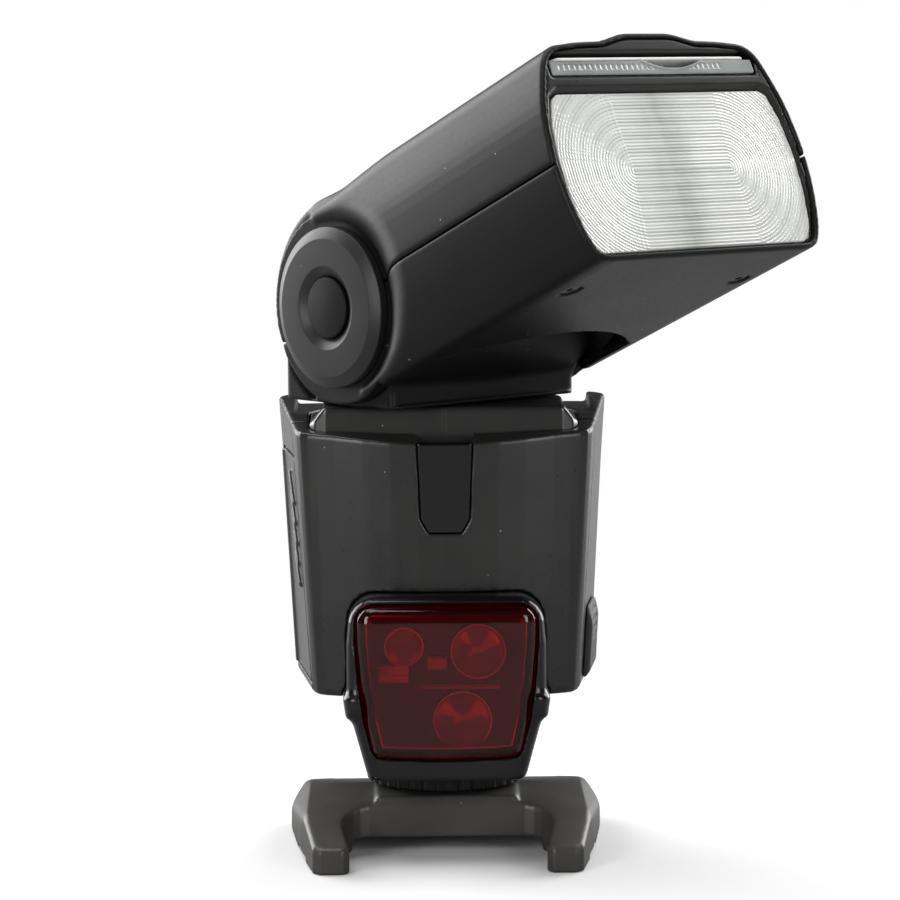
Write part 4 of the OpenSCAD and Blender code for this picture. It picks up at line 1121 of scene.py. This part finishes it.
def floor_material():
    """Matt pale grey near the object as a painted shadow round it, fading with distance into the white
    backdrop.
    """
    n = Nodes("pale_floor")
    tc = n.add("TexCoord")
    dist = n.add("VectorMath")
    dist.operation = "LENGTH"
    n.put(dist, 0, tc.outputs["Object"])
    # painted shadow: the floor is greyer near the object and turns into white emission with distance
    past = n.math("DIVIDE", n.math("SUBTRACT", dist.outputs["Value"], SHADOW_FADE_START), SHADOW_FADE_WIDTH)
    shadow_fade = n.math("SMOOTH_MIN", n.math("MAXIMUM", past, 0.0), 1.0, 0.35)
    near = n.add("BsdfDiffuse")
    n.put(near, "Color", n.ramp(n.noise(3, 2), [(0.3, grey(0.80)), (0.7, grey(0.83))]))
    far = n.add("Emission")
    far.inputs["Color"].default_value = grey(1.0)
    mix = n.add("MixShader")
    n.put(mix, 0, shadow_fade)
    n.put(mix, 1, near.outputs[0])
    n.put(mix, 2, far.outputs[0])
    dim = n.add("BsdfDiffuse")
    dim.inputs["Color"].default_value = grey(FLOOR_BOUNCE)
    seen = n.add("MixShader")
    n.put(seen, 0, n.add("LightPath").outputs["Is Camera Ray"])
    n.put(seen, 1, dim.outputs[0])
    n.put(seen, 2, mix.outputs[0])
    return n.finish(seen)


FLOOR_HALF = 6.0
corners = [(sx * FLOOR_HALF, sy * FLOOR_HALF, 0) for sx, sy in ((-1, -1), (1, -1), (1, 1), (-1, 1))]
add_mesh("floor", corners, [(0, 1, 2, 3)], floor_material())


def softbox(name, at, target, w, h, power):
    light = bpy.data.lights.new(name, "AREA")
    light.shape, light.size, light.size_y, light.energy = "RECTANGLE", w, h, power
    obj = bpy.data.objects.new(name, light)
    obj.location = at
    obj.rotation_euler = (Vector(target) - Vector(at)).to_track_quat("-Z", "Y").to_euler()
    bpy.context.scene.collection.objects.link(obj)
    return obj


softbox("key_top", (-0.05, 0.10, 1.25), (0, 0, 0.08), 1.2, 1.0, 14)
softbox("side_left", (-0.85, 0.70, 0.42), (0, 0, 0.1), 0.9, 1.2, 20)
softbox("side_right", (0.85, 0.70, 0.42), (0, 0, 0.1), 0.9, 1.2, 20)
softbox("front_left", (-0.80, -1.05, 0.38), (0, 0, 0.08), 0.45, 0.9, 10)
softbox("front_right", (0.80, -1.05, 0.38), (0, 0, 0.08), 0.45, 0.9, 7)

ROOM_LIGHT = 0.055
world = bpy.data.worlds.new("studio")
world.use_nodes = True
tree = world.node_tree
back = tree.nodes["Background"]
room = tree.nodes.new("ShaderNodeBackground")
room.inputs["Color"].default_value, room.inputs["Strength"].default_value = (1, 1, 1, 1), ROOM_LIGHT
back.inputs["Color"].default_value, back.inputs["Strength"].default_value = (1, 1, 1, 1), 1.0
path = tree.nodes.new("ShaderNodeLightPath")
pick = tree.nodes.new("ShaderNodeMixShader")
tree.links.new(path.outputs["Is Camera Ray"], pick.inputs[0])
tree.links.new(room.outputs[0], pick.inputs[1])
tree.links.new(back.outputs[0], pick.inputs[2])
tree.links.new(pick.outputs[0], tree.nodes["World Output"].inputs["Surface"])
bpy.context.scene.world = world
bpy.context.scene.view_settings.view_transform = "Standard"

CAM_YAW, CAM_PITCH, CAM_ROLL = (math.radians(a) for a in (0.7545, 6.6609, -0.4531))
CAM_AT = Vector((-0.00849, -0.76145, 0.1786))
flat = math.cos(CAM_PITCH)
fwd = Vector((flat * math.sin(CAM_YAW), flat * math.cos(CAM_YAW), -math.sin(CAM_PITCH)))
right = Vector((math.cos(CAM_YAW), -math.sin(CAM_YAW), 0))
up = right.cross(fwd)
r2 = right * math.cos(CAM_ROLL) + up * math.sin(CAM_ROLL)
u2 = up * math.cos(CAM_ROLL) - right * math.sin(CAM_ROLL)
cam_data = bpy.data.cameras.new("camera")
cam_data.lens, cam_data.sensor_width = 134.357, 36
cam_data.clip_start = 0.01
camera = bpy.data.objects.new("camera", cam_data)
camera.matrix_world = Matrix((r2.to_4d(), u2.to_4d(), (-fwd).to_4d(), CAM_AT.to_4d())).transposed()
for i in range(3):
    camera.matrix_world[3][i] = 0
bpy.context.scene.collection.objects.link(camera)
bpy.context.scene.camera = camera
